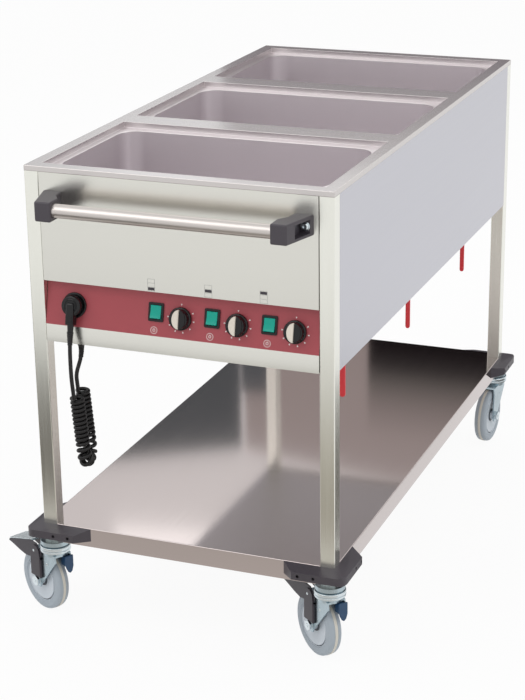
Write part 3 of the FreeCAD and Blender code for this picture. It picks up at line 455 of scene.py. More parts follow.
# ---------------------------------------------------------------------------------------- body
@dataclass
class Cabinet:
    """The sheet body: top, wells, legs, panels and lower shelf. Sizes in mm."""

    well_width: float = 508.0
    well_length: float = 298.0
    well_corner: float = 40.0
    floor_corner: float = 18.0
    floor_z: float = 681.5
    lip_z: float = 879.5
    deck_z: float = 892.0
    wall: float = 1.5
    first_well: float = 196.0
    well_pitch: float = 398.0
    drain_x: float = 200.0
    drain_back: float = -44.0
    seats_half: float = 268.5
    seats_front: float = 25.5
    seats_back: float = 1162.5

    def build(self) -> None:
        """Builds the wells and dresses the sheets."""
        for index, name in enumerate(("front", "middle", "rear")):
            centre = self.first_well + index * self.well_pitch
            self.basin(name, centre)
            self.strainer(name, centre)
        self.sheets()

    def basin(self, name: str, centre: float) -> None:
        """One deep-drawn basin with smooth corners.

        Args:
            name: which well it is.
            centre: its middle along Y.
        """
        bm = bmesh.new()
        half_x, half_y = self.well_width / 2.0, self.well_length / 2.0
        block(bm, (-half_x, centre - half_y, self.floor_z), (half_x, centre + half_y, self.lip_z))
        standing = [e for e in bm.edges if abs(e.verts[0].co.z - e.verts[1].co.z) > 1.0]
        bmesh.ops.bevel(bm, geom=standing, offset=self.well_corner, segments=12, profile=0.5, affect="EDGES",
                        material=-1)
        low = [e for e in bm.edges if max(v.co.z for v in e.verts) < self.floor_z + 0.1]
        bmesh.ops.bevel(bm, geom=low, offset=self.floor_corner, segments=6, profile=0.5, affect="EDGES", material=-1)
        lid = [f for f in bm.faces if f.normal.z > 0.9 and f.calc_center_median().z > self.lip_z - 0.1]
        bmesh.ops.delete(bm, geom=lid, context="FACES")
        bmesh.ops.recalc_face_normals(bm, faces=bm.faces)
        middle = Vector((0, centre, (self.floor_z + self.lip_z) / 2.0))
        outward = sum((f.calc_center_median() - middle).dot(f.normal) for f in bm.faces)
        bmesh.ops.solidify(bm, geom=list(bm.faces), thickness=-self.wall if outward > 0 else self.wall)
        piece("basin_" + name, bm, ROW, WELL_STEEL, "trolley", ("well_" + name,), crisp=50.0)

    def strainer(self, name: str, centre: float) -> None:
        """The drain's flanged strainer in the basin's floor.

        Args:
            name: which well it is in.
            centre: the well's middle along Y.
        """
        at = Matrix.Translation((self.drain_x, centre + self.drain_back, self.floor_z))
        bm = bmesh.new()
        turned(bm, [(0, 0.0), (0, 0.5), (12.5, 0.5), (13.5, 1.6), (18.0, 1.6), (19.0, 0.9), (19.0, 0.0), (0, 0.0)], at)
        piece("strainer_" + name, bm, ROW, BRIGHT_ZINC, "trolley")
        # The strainer's holes are black discs laid on it: painted shade.
        holes = bmesh.new()
        for ring, count in ((0.0, 1), (6.0, 6), (10.0, 10)):
            for k in range(count):
                spot = Vector((ring * math.cos(math.tau * k / count), ring * math.sin(math.tau * k / count), 0.5))
                turned(holes, [(0, 0), (0, 0.15), (1.5, 0.15), (1.5, 0), (0, 0)], at @ Matrix.Translation(spot), 10)
        piece("strainer_holes_" + name, holes, ROW, HOLE_BLACK, "trolley")

    def sheets(self) -> None:
        """Dresses the folded sheets, each with the roundings of its folds."""
        self.ledges(softened("top", RIM_STEEL, "trolley", 0.7))
        for node, finish, width in (("front_panel", FRONT_STEEL, 0.5), ("side_panel_left", SIDE_STEEL, 0.5),
                                    ("side_panel_right", SIDE_STEEL, 0.5), ("rear_panel", FRONT_STEEL, 0.5),
                                    ("lower_shelf", SHELF_STEEL, 0.7)):
            softened(node, finish, "trolley", width)
        for corner in Corner:
            softened("leg_" + corner.key, LEG_STEEL, "trolley", 0.4)
        for node, finish in (("base_plate", FLOOR_STEEL), ("heating_plates", ZINC), ("thermostats", CERAMIC),
                             ("terminal_block", CERAMIC)):
            dressed(node, finish)

    def ledges(self, top: bpy.types.Object) -> None:
        """Gives the ledges round the wells a brighter copy of the steel, a painted highlight, and the deck's top a
        darker copy, painted shade.

        Args:
            top: the dressed top.
        """
        top.data.materials.append(LEDGE_STEEL.material())
        top.data.materials.append(DECK_STEEL.material())
        for polygon in top.data.polygons:
            centre = polygon.center
            inside = (abs(centre.x - ORIGIN.x) < self.seats_half * MM
                      and self.seats_front * MM < centre.y - ORIGIN.y < self.seats_back * MM)
            # The ledge faces take the brighter copy, a painted highlight.
            if inside and self.lip_z - 1.0 < centre.z / MM < self.deck_z - 0.9:
                polygon.material_index = 1
            # The deck's upward faces take the darker copy, painted shade.
            elif polygon.normal.z > 0.9 and centre.z / MM > self.deck_z - 1.0:
                polygon.material_index = 2


def dressed(node: str, finish: Finish) -> None:
    """Gives a CAD node its finish."""
    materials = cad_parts[node].data.materials
    materials.clear()
    materials.append(finish.material())


# ---------------------------------------------------------------------------------------- handle
@dataclass
class PushHandle:
    """The tube handle between its two moulded brackets."""

    screw_x: float = 243.0
    height: float = 831.0

    def build(self) -> None:
        """Dresses the tube and the brackets and adds the screws' washers."""
        softened("handle_tube", HANDLE_STEEL, "trolley", 0.3)
        for name in ("left", "right"):
            softened("handle_bracket_" + name, GREY_NYLON, "trolley", 0.8)
        softened("handle_screws", BRIGHT_ZINC, "trolley", 0.4)
        for side, name in ((-1, "left"), (1, "right")):
            bm = bmesh.new()
            at = pointing((side * self.screw_x, -10.0, self.height), (0, -1, 0))
            turned(bm, [(4.3, 0), (4.3, 1.2), (8.0, 1.2), (8.6, 0.6), (8.6, 0), (4.3, 0)], at, 32)
            piece("screw_washer_" + name, bm, ROW, BRIGHT_ZINC, "trolley")


# ---------------------------------------------------------------------------------------- controls
@dataclass
class ControlStrip:
    """The sloped strip with its switches, knobs, parking socket and print. Sizes in mm."""

    top_z: float = 681.0
    bottom_z: float = 598.0
    recess: float = 18.0
    sheet: float = 0.8
    first_switch: float = -46.0
    first_knob: float = 2.0
    pitch: float = 108.0
    switch_v: float = 44.0
    knob_v: float = 37.0
    icon_v: float = 11.0
    socket_x: float = -207.0
    socket_v: float = 39.4
    plan_xs: tuple[float, ...] = (-50.4, 58.8, 162.6)
    plan_low: float = 682.6
    plan_high: float = 704.6

    def place(self, x: float, v: float, w: float = 0.0) -> Matrix:
        """From a spot's own mm to the row frame.

        Args:
            x: along the strip.
            v: up the slope from its lower edge.
            w: out of the slope.

        Returns:
            The matrix, with X along the strip, Y up the slope and Z out of it.
        """
        tilt = math.atan2(self.top_z - self.bottom_z, self.recess)
        foot = Matrix.Translation((x, 0.0, self.bottom_z)) @ Matrix.Rotation(tilt, 4, "X")
        return ROW @ foot @ Matrix.Translation((0.0, v, w))

    def build(self) -> None:
        """Builds the strip's pieces."""
        softened("control_fascia", RED_PRINT, "trolley", 0.15, 1)
        softened("switch_housings", BLACK_ABS, "trolley", 0.5)
        for index in range(3):
            number = index + 1
            softened("rocker_%d" % number, GREEN_LENS, "rocker_%d" % number, 0.7, 3)
            self.knob(number, self.first_knob + index * self.pitch)
            self.dial_print(number, self.first_knob + index * self.pitch)
            self.icon(number, self.first_switch + index * self.pitch - 3.0)
            self.pictogram(number, self.plan_xs[index])
        softened("parking_socket", BLACK_ABS, "trolley", 0.4)

    def knob(self, number: int, x: float) -> None:
        """A round knob with a finger bar and a cream inlay beside it.

        Args:
            number: which knob it is.
            x: its middle along the strip.
        """
        body = "knob_%d" % number
        bm = bmesh.new()
        turned(bm, [(0, -14), (3, -14), (3, 2), (20.4, 2), (21, 2.6), (20.6, 6.4), (19.8, 7.2), (18.6, 7.6),
                    (17.6, 15.4), (16.6, 16.6), (14.6, 17.2), (0, 17.2)], steps=64)
        grip = [(3.8 + 11.2 * math.sin(math.radians(a)), 17.2 * math.cos(math.radians(a)), 8.0)
                for a in range(5, 176, 10)]
        rounding(bm, prism(bm, grip, (0, 0, 11.4)), 1.8, 3)
        piece("knob_body_%d" % number, bm, self.place(x, self.knob_v), BLACK_ABS, body, (body,))
        inlay = bmesh.new()
        arc = [(3.6 - 14.2 * math.sin(math.radians(a)), 17.8 * math.cos(math.radians(a)), 8.0)
               for a in range(5, 176, 10)]
        rounding(inlay, prism(inlay, arc, (0, 0, 12.4)), 2.2, 4)
        piece("knob_inlay_%d" % number, inlay, self.place(x, self.knob_v), CREAM_ABS, body)

    def dial_print(self, number: int, x: float) -> None:
        """The printed scale round a knob: a small triangle for off and a tick for each step.

        Args:
            number: which knob it is round.
            x: the knob's middle along the strip.
        """
        bm = bmesh.new()
        for angle in (27, -8, -43, -78, -113, -148, -183):
            turn = Matrix.Rotation(math.radians(angle), 4, "Z")
            tick = prism(bm, [(23.0, -0.5, 0), (26.2, -1.5, 0), (26.2, 1.5, 0), (23.0, 0.5, 0)], (0, 0, 0.12))
            bmesh.ops.transform(bm, matrix=turn, verts=tick)
        prism(bm, [(-1.6, 26.6, 0), (0, 23.0, 0), (1.6, 26.6, 0)], (0, 0, 0.12))
        piece("dial_scale_%d" % number, bm, self.place(x, self.knob_v, self.sheet), WHITE_PRINT, "trolley")

    def icon(self, number: int, x: float) -> None:
        """The round standby mark printed under a switch.

        Args:
            number: which switch it is under.
            x: its middle along the strip.
        """
        bm = bmesh.new()
        for low, high, steps in ((5.7, 6.6, 40), (1.6, 2.7, 28)):
            turned(bm, [(low, 0), (low, 0.12), (high, 0.12), (high, 0), (low, 0)], steps=steps)
        block(bm, (-0.45, 1.6, 0), (0.45, 3.9, 0.13))
        piece("standby_mark_%d" % number, bm, self.place(x, self.icon_v, self.sheet), WHITE_PRINT, "trolley")

    def pictogram(self, number: int, x: float) -> None:
        """The small outlined plan of the three wells, with the one that the controls work filled in.

        Args:
            number: which well is filled.
            x: its middle along the front.
        """
        low, high = self.plan_low, self.plan_high
        lines = bmesh.new()
        for cross in (-7.0, 6.6):
            block(lines, (x + cross, -0.12, low), (x + cross + 0.4, 0.02, high))
        for share in (0.0, 1.0 / 3.0, 2.0 / 3.0, 1.0):
            z = low + share * (high - low)
            block(lines, (x - 7.0, -0.12, z - 0.2), (x + 7.0, 0.02, z + 0.2))
        piece("well_plan_%d" % number, lines, ROW, GREY_PRINT, "trolley")
        filled = bmesh.new()
        base = low + (number - 1) * (high - low) / 3.0
        block(filled, (x - 6.2, -0.14, base + 1.2), (x + 6.2, 0.02, base + 6.4))
        piece("well_plan_fill_%d" % number, filled, ROW, DARK_NYLON, "trolley")


# ---------------------------------------------------------------------------------------- bumpers
@dataclass
class CornerBumpers:
    """The four corner mouldings, with the screws in their recesses drawn in painted shade."""

    reach: float = 27.0
    recess_z: float = 182.5
    half_width: float = 292.0
    length: float = 1188.0

    def build(self) -> None:
        """Rounds the mouldings and adds the screws."""
        softened("corner_bumpers", GREY_NYLON, "trolley", 1.6, 3)
        bm = bmesh.new()
        for side_x in (-1, 1):
            for side_y in (0, 1):
                edge_y = side_y * self.length
                out_y = -1 if side_y == 0 else 1
                for ahead in (32.0, 62.0):
                    x = side_x * (self.half_width - ahead)
                    self.screw(bm, (x, edge_y + out_y * (self.reach - 5.0), self.recess_z), (0, out_y, 0))
                for ahead in (40.0, 70.0):
                    x = side_x * (self.half_width + self.reach - 5.0)
                    self.screw(bm, (x, edge_y - out_y * ahead, self.recess_z), (side_x, 0, 0))
        # The screw heads take the flat black: painted shade of their recesses.
        piece("bumper_screws", bm, ROW, HOLE_BLACK, "trolley")

    def screw(self, bm: BMesh, spot: Point, axis: Point) -> None:
        """Adds a screw's head at a spot, facing along the axis."""
        turned(bm, [(0, 0), (0, 1.6), (2.2, 1.2), (2.8, 0.4), (2.8, 0), (0, 0)], pointing(spot, axis), 20)


# ---------------------------------------------------------------------------------------- casters
@dataclass
class Caster:
    """One swivel caster: fork, wheel and, at the front, its brake. Sizes in mm, trail along X."""

    corner: Corner
    radius: float = 62.5
    trail: float = 38.0
    tyre_half: float = 13.0
    hub_radius: float = 44.0
    fork_half: float = 16.0
    fork_sheet: float = 3.0
    pivot_x: float = 39.0
    pivot_z: float = 127.0

    def build(self) -> None:
        """Builds the caster's pieces."""
        key = self.corner.key
        softened("fork_" + key, ZINC, "caster_" + key, 0.5)
        self.tyre()
        self.hub()
        self.bearing_rings()
        self.axle_ends()
        if self.corner.braked:
            self.pedal()
            softened("brake_arm_" + key, DARK_NYLON, "caster_" + key, 1.6, 3)
            self.brake_covers()
            self.brake_block()

    def part(self, name: str, bm: BMesh, finish: Finish, rider: str, node: str = "",
             crisp: float = 34.0) -> None:
        """Makes a piece of this caster. Names are given without the corner's key.

        Args:
            name: the piece's name.
            bm: its shape, in the caster's own mm.
            finish: its surface.
            rider: the body it rides on.
            node: the CAD node that it stands for, if any.
            crisp: edges turned by more than this many degrees stay sharp.
        """
        key = "_" + self.corner.key
        piece(name + key, bm, self.corner.place, finish, rider + key, (node + key,) if node else (), crisp)

    @property
    def axle(self) -> Matrix:
        """The wheel's middle, with Z along the axle."""
        return pointing((self.trail, 0.0, self.radius), (0, 1, 0))

    @property
    def outer(self) -> float:
        """The fork legs' outer faces, from the caster's middle."""
        return self.fork_half + self.fork_sheet

    def tyre(self) -> None:
        """A square-shouldered tyre, with the pale line round its tread."""
        half, radius, hub = self.tyre_half, self.radius, self.hub_radius
        side = [(hub, -half + 1.6), (hub + 1.2, -half), (hub + 9.5, -half), (hub + 11.5, -half + 0.35),
                (radius - 4.2, -half + 1.1), (radius - 2.0, -half + 2.8), (radius - 0.9, -half + 5.0),
                (radius - 0.45, -3.6), (radius - 0.9, -3.2), (radius - 0.9, -2.4), (radius - 0.7, 0.0)]
        profile = side + [(r, -h) for r, h in reversed(side[:-1])] + [side[0]]
        bm = bmesh.new()
        turned(bm, profile, self.axle, 96)
        self.part("tyre_body", bm, TYRE_RUBBER, "wheel", "tyre")
        line = bmesh.new()
        band = [(radius - 2.0, -2.9), (radius - 0.4, -2.9), (radius, -2.3), (radius, 2.3), (radius - 0.4, 2.9),
                (radius - 2.0, 2.9), (radius - 2.0, -2.9)]
        turned(line, band, self.axle, 96)
        self.part("tyre_line", line, TREAD_RUBBER, "wheel")

    def hub(self) -> None:
        """The wheel centre: a smooth dish with a groove round it and a bearing boss, with dark rings of painted shade
        in the groove and round the boss.
        """
        half, hub = self.tyre_half, self.hub_radius
        face = [(4.05, -half - 2.5), (8.6, -half - 2.5), (10.0, -half - 1.6), (10.0, -half + 4.4), (12.0, -half + 5.2),
                (20.0, -half + 4.9), (28.0, -half + 4.0), (35.0, -half + 2.6), (39.6, -half + 1.4),
                (40.6, -half + 1.3), (41.2, -half + 1.9), (41.4, -half + 4.0), (43.0, -half + 4.0),
                (43.2, -half + 1.9), (hub - 0.02, -half + 1.5)]
        profile = face + [(r, -h) for r, h in reversed(face)] + [face[0]]
        bm = bmesh.new()
        turned(bm, profile, self.axle, 96)
        self.part("wheel_centre", bm, HUB_PLASTIC, "wheel", "hub", 24.0)
        # Dark rings of painted shade in the groove and round the bearing boss.
        dark = bmesh.new()
        for side in (-1, 1):
            for low, high, depth in ((41.4, 43.0, 3.2), (10.0, 14.6, 4.0)):
                top, bottom = side * (half - depth), side * (half - depth - 0.4)
                turned(dark, [(low, top), (high, top), (high, bottom), (low, bottom), (low, top)], self.axle, 96)
        self.part("wheel_groove", dark, GROOVE_PLASTIC, "wheel")

    def bearing_rings(self) -> None:
        """The rolled rim of the swivel bearing and the rivets of the fork."""
        key = self.corner.key
        ring = bmesh.new()
        turned(ring, [(26.0, 136.1), (28.6, 136.2), (29.4, 137.2), (29.5, 139.4), (29.0, 140.6), (28.7, 141.4),
                      (29.0, 142.3), (29.5, 143.4), (29.5, 146.6), (29.0, 147.8), (28.0, 148.4), (26.0, 148.4),
                      (26.0, 136.1)], steps=72)
        self.part("bearing_ring", ring, BRIGHT_ZINC, "caster", crisp=60.0)
        for side in (-1, 1):
            pins = bmesh.new()
            place = pointing((4.0, side * self.outer, 108.0), (0, side, 0))
            turned(pins, [(0, 0), (3.4, 0), (3.2, 0.8), (1.8, 1.6), (0, 1.8)], place, 24)
            piece("fork_rivet_%s_%s" % (key, "near" if side > 0 else "far"), pins, self.corner.place, BRIGHT_ZINC,
                  "caster_" + key)

    def axle_ends(self) -> None:
        """Washers under the axle's head and nut, and the bright hexagons themselves."""
        bm = bmesh.new()
        for side in (-1, 1):
            place = pointing((self.trail, side * self.outer, self.radius), (0, side, 0))
            turned(bm, [(4.2, 0), (9.5, 0), (10.0, 0.4), (10.0, 1.0), (9.5, 1.4), (4.2, 1.4), (4.2, 0)], place, 40)
            hexagon = bmesh.ops.create_cone(bm, segments=6, radius1=10.6, radius2=10.6, depth=6.2, cap_ends=True,
                                            matrix=place @ Matrix.Translation((0, 0, 4.5)))["verts"]
            rounding(bm, hexagon, 0.9, 3)
            turned(bm, [(0, 7.4), (4.0, 7.4), (4.0, 8.0), (3.4, 8.5), (0, 8.5)], place, 32)
        self.part("axle_washers", bm, BRIGHT_ZINC, "caster")

    def pedal(self) -> None:
        """The brake pedal: a bright steel tread with a turned-down lip between two dark moulded walls."""
        start = self.outer + 0.4
        tread = bmesh.new()
        outline = [(50, -start, 141), (126, -start, 119), (129, -start, 113), (132, -start, 114),
                   (128.5, -start, 122.5), (51, -start, 145)]
        rounding(tread, prism(tread, outline, (0, 2 * start, 0)), 0.8, 3, 20.0)
        self.part("pedal_tread", tread, BRIGHT_ZINC, "pedal", "brake_pedal")
        walls = bmesh.new()
        swing = [(self.pivot_x + 21.0 * math.cos(math.radians(a)), self.pivot_z + 21.0 * math.sin(math.radians(a)))
                 for a in range(180, 301, 15)]
        edge = swing + [(70, 105.5), (91, 109), (111, 114), (128, 117.5), (126, 121), (51, 143.5), (34, 143),
                        (28, 137), (22, 133)]
        for side in (-1, 1):
            rounding(walls, prism(walls, [(x, side * start, z) for x, z in edge], (0, side * 3.0, 0)), 0.9, 3)
        self.part("pedal_walls", walls, DARK_NYLON, "pedal")

    def brake_covers(self) -> None:
        """The smooth covers that run from the pedal's pivots down to the axle nuts, with the pivots' rivets."""
        covers, rivets = bmesh.new(), bmesh.new()
        edge = [(22, 73.6), (20.8, 118), (23, 131), (30, 138.2), (40, 138.6), (47.5, 131), (51, 118), (51.5, 73.6)]
        for side in (-1, 1):
            rounding(covers, prism(covers, [(x, side * 22.9, z) for x, z in edge], (0, side * 2.0, 0)), 0.8, 3)
            place = pointing((self.pivot_x, side * 24.85, self.pivot_z), (0, side, 0))
            turned(rivets, [(0, 0), (2.7, 0), (2.5, 0.5), (1.5, 1.0), (0, 1.1)], place, 24)
        self.part("brake_covers", covers, DARK_NYLON, "caster")
        self.part("brake_rivets", rivets, BRIGHT_ZINC, "caster")

    def brake_block(self) -> None:
        """The blue block behind the tyre: a rounded tongue on a body that reaches between the fork's legs."""
        bm = bmesh.new()
        outline = [(-20.5, 127), (-1.5, 127), (-1.5, 112), (-4.5, 101), (-9, 92.5), (-13, 90), (-17.5, 94),
                   (-20.5, 104)]
        rounding(bm, prism(bm, [(-28.4, y, z) for y, z in outline], (4.0, 0, 0)), 1.5, 3)
        rounding(bm, block(bm, (-25.0, -15.3, 106.5), (-12.0, -2.2, 126.0)), 1.2, 3)
        self.part("brake_shoe", bm, BLUE_NYLON, "caster", "brake_block")


# ---------------------------------------------------------------------------------------- drains
@dataclass
class Drains:
    """The drain valves under the right side, with their red levers."""

    valve_x: float = 262.0
    first_y: float = 152.0
    pitch: float = 398.0
    axis_z: float = 556.0
    stub_end: float = 548.0
    slim: tuple[float, ...] = (0.9, 0.74, 0.74)

    def build(self) -> None:
        """Dresses pipes, valves and levers, and adds the levers' nuts."""
        dressed("drain_pipes", LEG_STEEL)
        softened("drain_valves", NICKEL, "trolley", 0.3, lowest=self.stub_end)
        for index in range(3):
            number = index + 1
            body = "drain_lever_%d" % number
            softened(body, RED_VINYL, body, 1.1, 3, slim=self.slim[index])
            bm = bmesh.new()
            place = pointing((self.valve_x, self.first_y + index * self.pitch - 25.4, self.axis_z), (0, -1, 0))
            nut = bmesh.ops.create_cone(bm, segments=6, radius1=3.9, radius2=3.9, depth=1.5, cap_ends=True,
                                        matrix=place @ Matrix.Translation((0, 0, 0.75)))["verts"]
            rounding(bm, nut, 0.3, 1)
            piece("lever_nut_%d" % number, bm, ROW, BRIGHT_ZINC, body)


# ---------------------------------------------------------------------------------------- cord
@dataclass
class MainsCord:
    """The curly mains cord, from the gland under the cabinet to the parked plug. Sizes in mm."""

    strip: ControlStrip
    diameter: float = 7.5
    curl_radius: float = 10.0
    curl_pitch: float = 8.1
    bend_pitch: float = 13.4
    bend_radius: float = 22.5
    straight: float = 106.5
    lead_in: float = 11.0
    gland: Point = (-206.5, 23.5, 552.5)
    coil_end: Point = (-210.5, 14.5, 484.5)
    real_length: float = 2109.5
    points_per_curl: int = 12
    boot_step: float = 0.8

    def __post_init__(self) -> None:
        """Works out the U that the curls wind round."""
        self.down = Vector((0.085, 0.0, -1.0)).normalized()
        across = Vector((10.5, -43.7, 0.0))
        self.across = (across - self.down * across.dot(self.down)).normalized()
        self.side = self.down.cross(-self.across)
        self.back_angle = math.radians(-5.0)
        self.front_angle = math.radians(-185.0)
        self.turn_in = math.atan2(self.lead_in, self.curl_radius)
        offset = math.hypot(self.curl_radius, self.lead_in)
        outward = self.across * math.cos(self.back_angle) + self.side * math.sin(self.back_angle)
        self.back_top = Vector(self.coil_end) + self.down * (self.diameter + self.lead_in) - outward * offset
        self.front_top = self.back_top + self.across * (2.0 * self.bend_radius)

    def build(self) -> None:
        """Builds the cord, its plug and its strain reliefs."""
        softened("cable_gland", BLACK_ABS, "trolley", 0.5)
        softened("mains_plug", BLACK_ABS, "trolley", 0.8, 3)
        ridges = self.plug_ridges()
        points = self.control_points()
        line = spline_line(points, 8)
        plug_boot = self.boot("plug_boot", list(reversed(line)), 24.0, (6.3, 4.7))
        gland_boot = self.boot("gland_boot", line, 20.0, (5.6, 4.6))
        cord = self.curve("mains_cord", points)
        settle(cord, "trolley", ("cord_plug_lead", "cord_curl", "cord_gland_lead"))

    def curve(self, name: str, points: list[Vector]) -> bpy.types.Object:
        """The cord itself, one smooth spline with a round section.

        Args:
            name: the object's name.
            points: the spline's control points in mm.

        Returns:
            The curve object.
        """
        made = spline_object(name, [ROW @ p for p in points], 3)
        made.data.bevel_depth = self.diameter / 2.0 * MM
        made.data.bevel_resolution = 4
        made.data.use_fill_caps = True
        made.data.materials.append(CORD_RUBBER.material())
        return made

    def control_points(self) -> list[Vector]:
        """The spline's control points: the gland lead, the curls and the plug lead."""
        curls = self.curl_points()
        plug = self.strip.place(self.strip.socket_x, self.strip.socket_v)
        inverse = ROW.inverted()
        start = inverse @ (plug @ Vector((0.0, -47.5, 14.5)))
        way = (inverse.to_3x3() @ (plug.to_3x3() @ Vector((0.0, -1.0, 0.0)))).normalized()
        back_tip, back_corner = self.lead_end(curls[-1], curls[-1] - curls[-2])
        front_tip, front_corner = self.lead_end(curls[0], curls[0] - curls[1])
        gland = Vector(self.gland)
        gland_lead = [gland, gland + Vector((0, 0, -18.5)), back_tip - self.down * 18.5, back_tip, back_corner]
        plug_lead = [front_corner, front_tip, front_tip - self.down * 28.0, start + way * 26.0, start]
        return gland_lead + list(reversed(curls)) + plug_lead

    def lead_end(self, last: Vector, way_out: Vector) -> tuple[Vector, Vector]:
        """Where a lead meets the curls.

        Args:
            last: the curls' last point.
            way_out: the direction in which they leave it.

        Returns:
            The end of the straight lead and the corner point between it and the curls.
        """
        flat = (way_out - self.down * way_out.dot(self.down)).normalized()
        corner = last + flat * self.lead_in
        return corner - self.down * (self.lead_in + self.diameter), corner

    def u_line(self) -> list[Vector]:
        """The U that the curls wind round, read from its own smooth spline."""
        depths = (0.0, 43.0, 86.0, self.straight + self.bend_radius)
        front = [self.front_top + self.down * d for d in depths]
        back = [self.back_top + self.down * d for d in reversed(depths)]
        return even_steps(spline_line(front + back, 40), 1500)

    def curl_points(self) -> list[Vector]:
        """The curls' control points, wound round the U from the front to the back."""
        line = self.u_line()
        bend = (line[-1] - line[0]).length * math.pi / 2.0
        step = (line[1] - line[0]).length
        length = step * (len(line) - 1)
        phases = [0.0]
        for k in range(len(line) - 1):
            phases.append(phases[-1] + math.tau * step / self.pitch_at((k + 0.5) * step, length, bend))
        start = self.front_angle + self.turn_in
        wanted = self.back_angle - self.turn_in - start
        wanted += math.tau * round((phases[-1] - wanted) / math.tau)
        count = round(wanted / math.tau * self.points_per_curl)
        radius = self.curl_radius / math.cos(math.pi / self.points_per_curl)
        points = []
        at = 0
        for k in range(count + 1):
            goal = phases[-1] * k / count
            while at < len(phases) - 2 and phases[at + 1] < goal:
                at += 1
            share = (goal - phases[at]) / (phases[at + 1] - phases[at])
            angle = start + wanted * k / count
            tangent = (line[at + 1] - line[at]).normalized()
            inward = self.side.cross(tangent)
            centre = line[at].lerp(line[at + 1], share)
            points.append(centre + (inward * math.cos(angle) + self.side * math.sin(angle)) * radius)
        return points

    def pitch_at(self, distance: float, length: float, bend: float) -> float:
        """The curls' pitch at a distance along the U: close on the straights, open round the bend.

        Args:
            distance: how far along the U.
            length: the U's whole length.
            bend: the length of its bend.

        Returns:
            The pitch in mm.
        """
        ease = 30.0
        into = (distance - (length - bend) / 2.0 + ease) / ease
        out = ((length + bend) / 2.0 + ease - distance) / ease
        blend = max(0.0, min(1.0, into, out))
        return self.curl_pitch + (self.bend_pitch - self.curl_pitch) * blend * blend * (3.0 - 2.0 * blend)

    def boot(self, name: str, line: list[Vector], reach: float, radii: tuple[float, float]) -> bpy.types.Object:
        """A ribbed, tapered strain relief that follows the cord.

        Args:
            name: its name.
            line: the cord's line in mm, from the end that the boot is on.
            reach: the boot's length.
            radii: its radius at the housing and at its tip.

        Returns:
            The boot.
        """
        path = even_steps(line, int(sum((b - a).length for a, b in zip(line, line[1:])) / self.boot_step))
        count = int(reach / self.boot_step)
        made = spline_object(name, [ROW @ p for p in path[:count + 1]], 2)
        made.data.bevel_depth = MM
        made.data.bevel_resolution = 5
        made.data.use_fill_caps = True
        for k, point in enumerate(made.data.splines[0].points):
            share = k / count
            groove = 0.55 if k % 4 in (2, 3) and 0.1 < share < 0.92 else 0.0
            point.radius = radii[0] + (radii[1] - radii[0]) * share - groove
        made.data.materials.append(BLACK_ABS.material())
        settle(made, "trolley", ())
        return made

    def plug_ridges(self) -> bpy.types.Object:
        """The moulded ring and finger ridges on the plug's face."""
        place = self.strip.place(self.strip.socket_x, self.strip.socket_v)
        bm = bmesh.new()
        turned(bm, [(11.0, 19.6), (11.0, 20.7), (12.0, 21.2), (13.0, 20.7), (13.0, 19.6), (11.0, 19.6)], steps=48)
        for k in range(5):
            v = -32.0 + k * 3.6
            rounding(bm, block(bm, (-6.0, v, 23.0), (6.0, v + 1.6, 24.8)), 0.4, 2)
        return piece("plug_ridges", bm, place, BLACK_ABS, "trolley")


def spline_object(name: str, points: list[Vector], order: int) -> bpy.types.Object:
    """A curve object with one open NURBS spline through or near its points.

    Args:
        name: the object's name.
        points: the control points.
        order: 3 for a smooth line, 2 for straight steps.

    Returns:
        The curve object.
    """
    data = bpy.data.curves.new(name, "CURVE")
    data.dimensions = "3D"
    data.resolution_u = 4
    spline = data.splines.new("NURBS")
    spline.points.add(len(points) - 1)
    for target, point in zip(spline.points, points):
        target.co = (*point, 1.0)
    spline.order_u = order
    spline.use_endpoint_u = True
    made = bpy.data.objects.new(name, data)
    bpy.context.scene.collection.objects.link(made)
    return made


def spline_line(points: list[Vector], resolution: int) -> list[Vector]:
    """The points along the smooth spline of some control points."""
    made = spline_object("route", points, 3)
    made.data.resolution_u = resolution
    mesh = bpy.data.meshes.new_from_object(made)
    line = [v.co.copy() for v in mesh.vertices]
    data = made.data
    bpy.data.objects.remove(made)
    bpy.data.curves.remove(data)
    bpy.data.meshes.remove(mesh)
    return line


def even_steps(line: list[Vector], count: int) -> list[Vector]:
    """A line's points again, at even distances.

    Args:
        line: the points as they are.
        count: how many steps to make.

    Returns:
        The count + 1 new points.
    """
    reached = [0.0]
    for a, b in zip(line, line[1:]):
        reached.append(reached[-1] + (b - a).length)
    made = []
    at = 0
    for k in range(count + 1):
        goal = reached[-1] * k / count
        while at < len(line) - 2 and reached[at + 1] < goal:
            at += 1
        span = reached[at + 1] - reached[at]
        made.append(line[at].lerp(line[at + 1], (goal - reached[at]) / span if span else 0.0))
    return made


# ---------------------------------------------------------------------------------------- studio
@dataclass(frozen=True)
class Board:
    """A glowing board of painted reflection that only reflections see: its corners in mm, and tones along Y or Z at
    places in mm.
    """

    corners: tuple[Point, ...]
    axis: str
    tones: tuple[tuple[float, str], ...]


def standing(y: float, x: tuple[float, float], tops: tuple[float, float], tones: tuple) -> Board:
    """A board that stands behind the trolley, from x to x, with the given heights at its two sides."""
    return Board(((x[0], y, -10), (x[0], y, tops[0]), (x[1], y, tops[1]), (x[1], y, -10)), "Z", tones)


def lying(x: tuple[float, float], y: tuple[float, float], tones: tuple) -> Board:
    """A board that lies on the floor."""
    return Board(((x[0], y[0], 2), (x[1], y[0], 2), (x[1], y[1], 2), (x[0], y[1], 2)), "Y", tones)
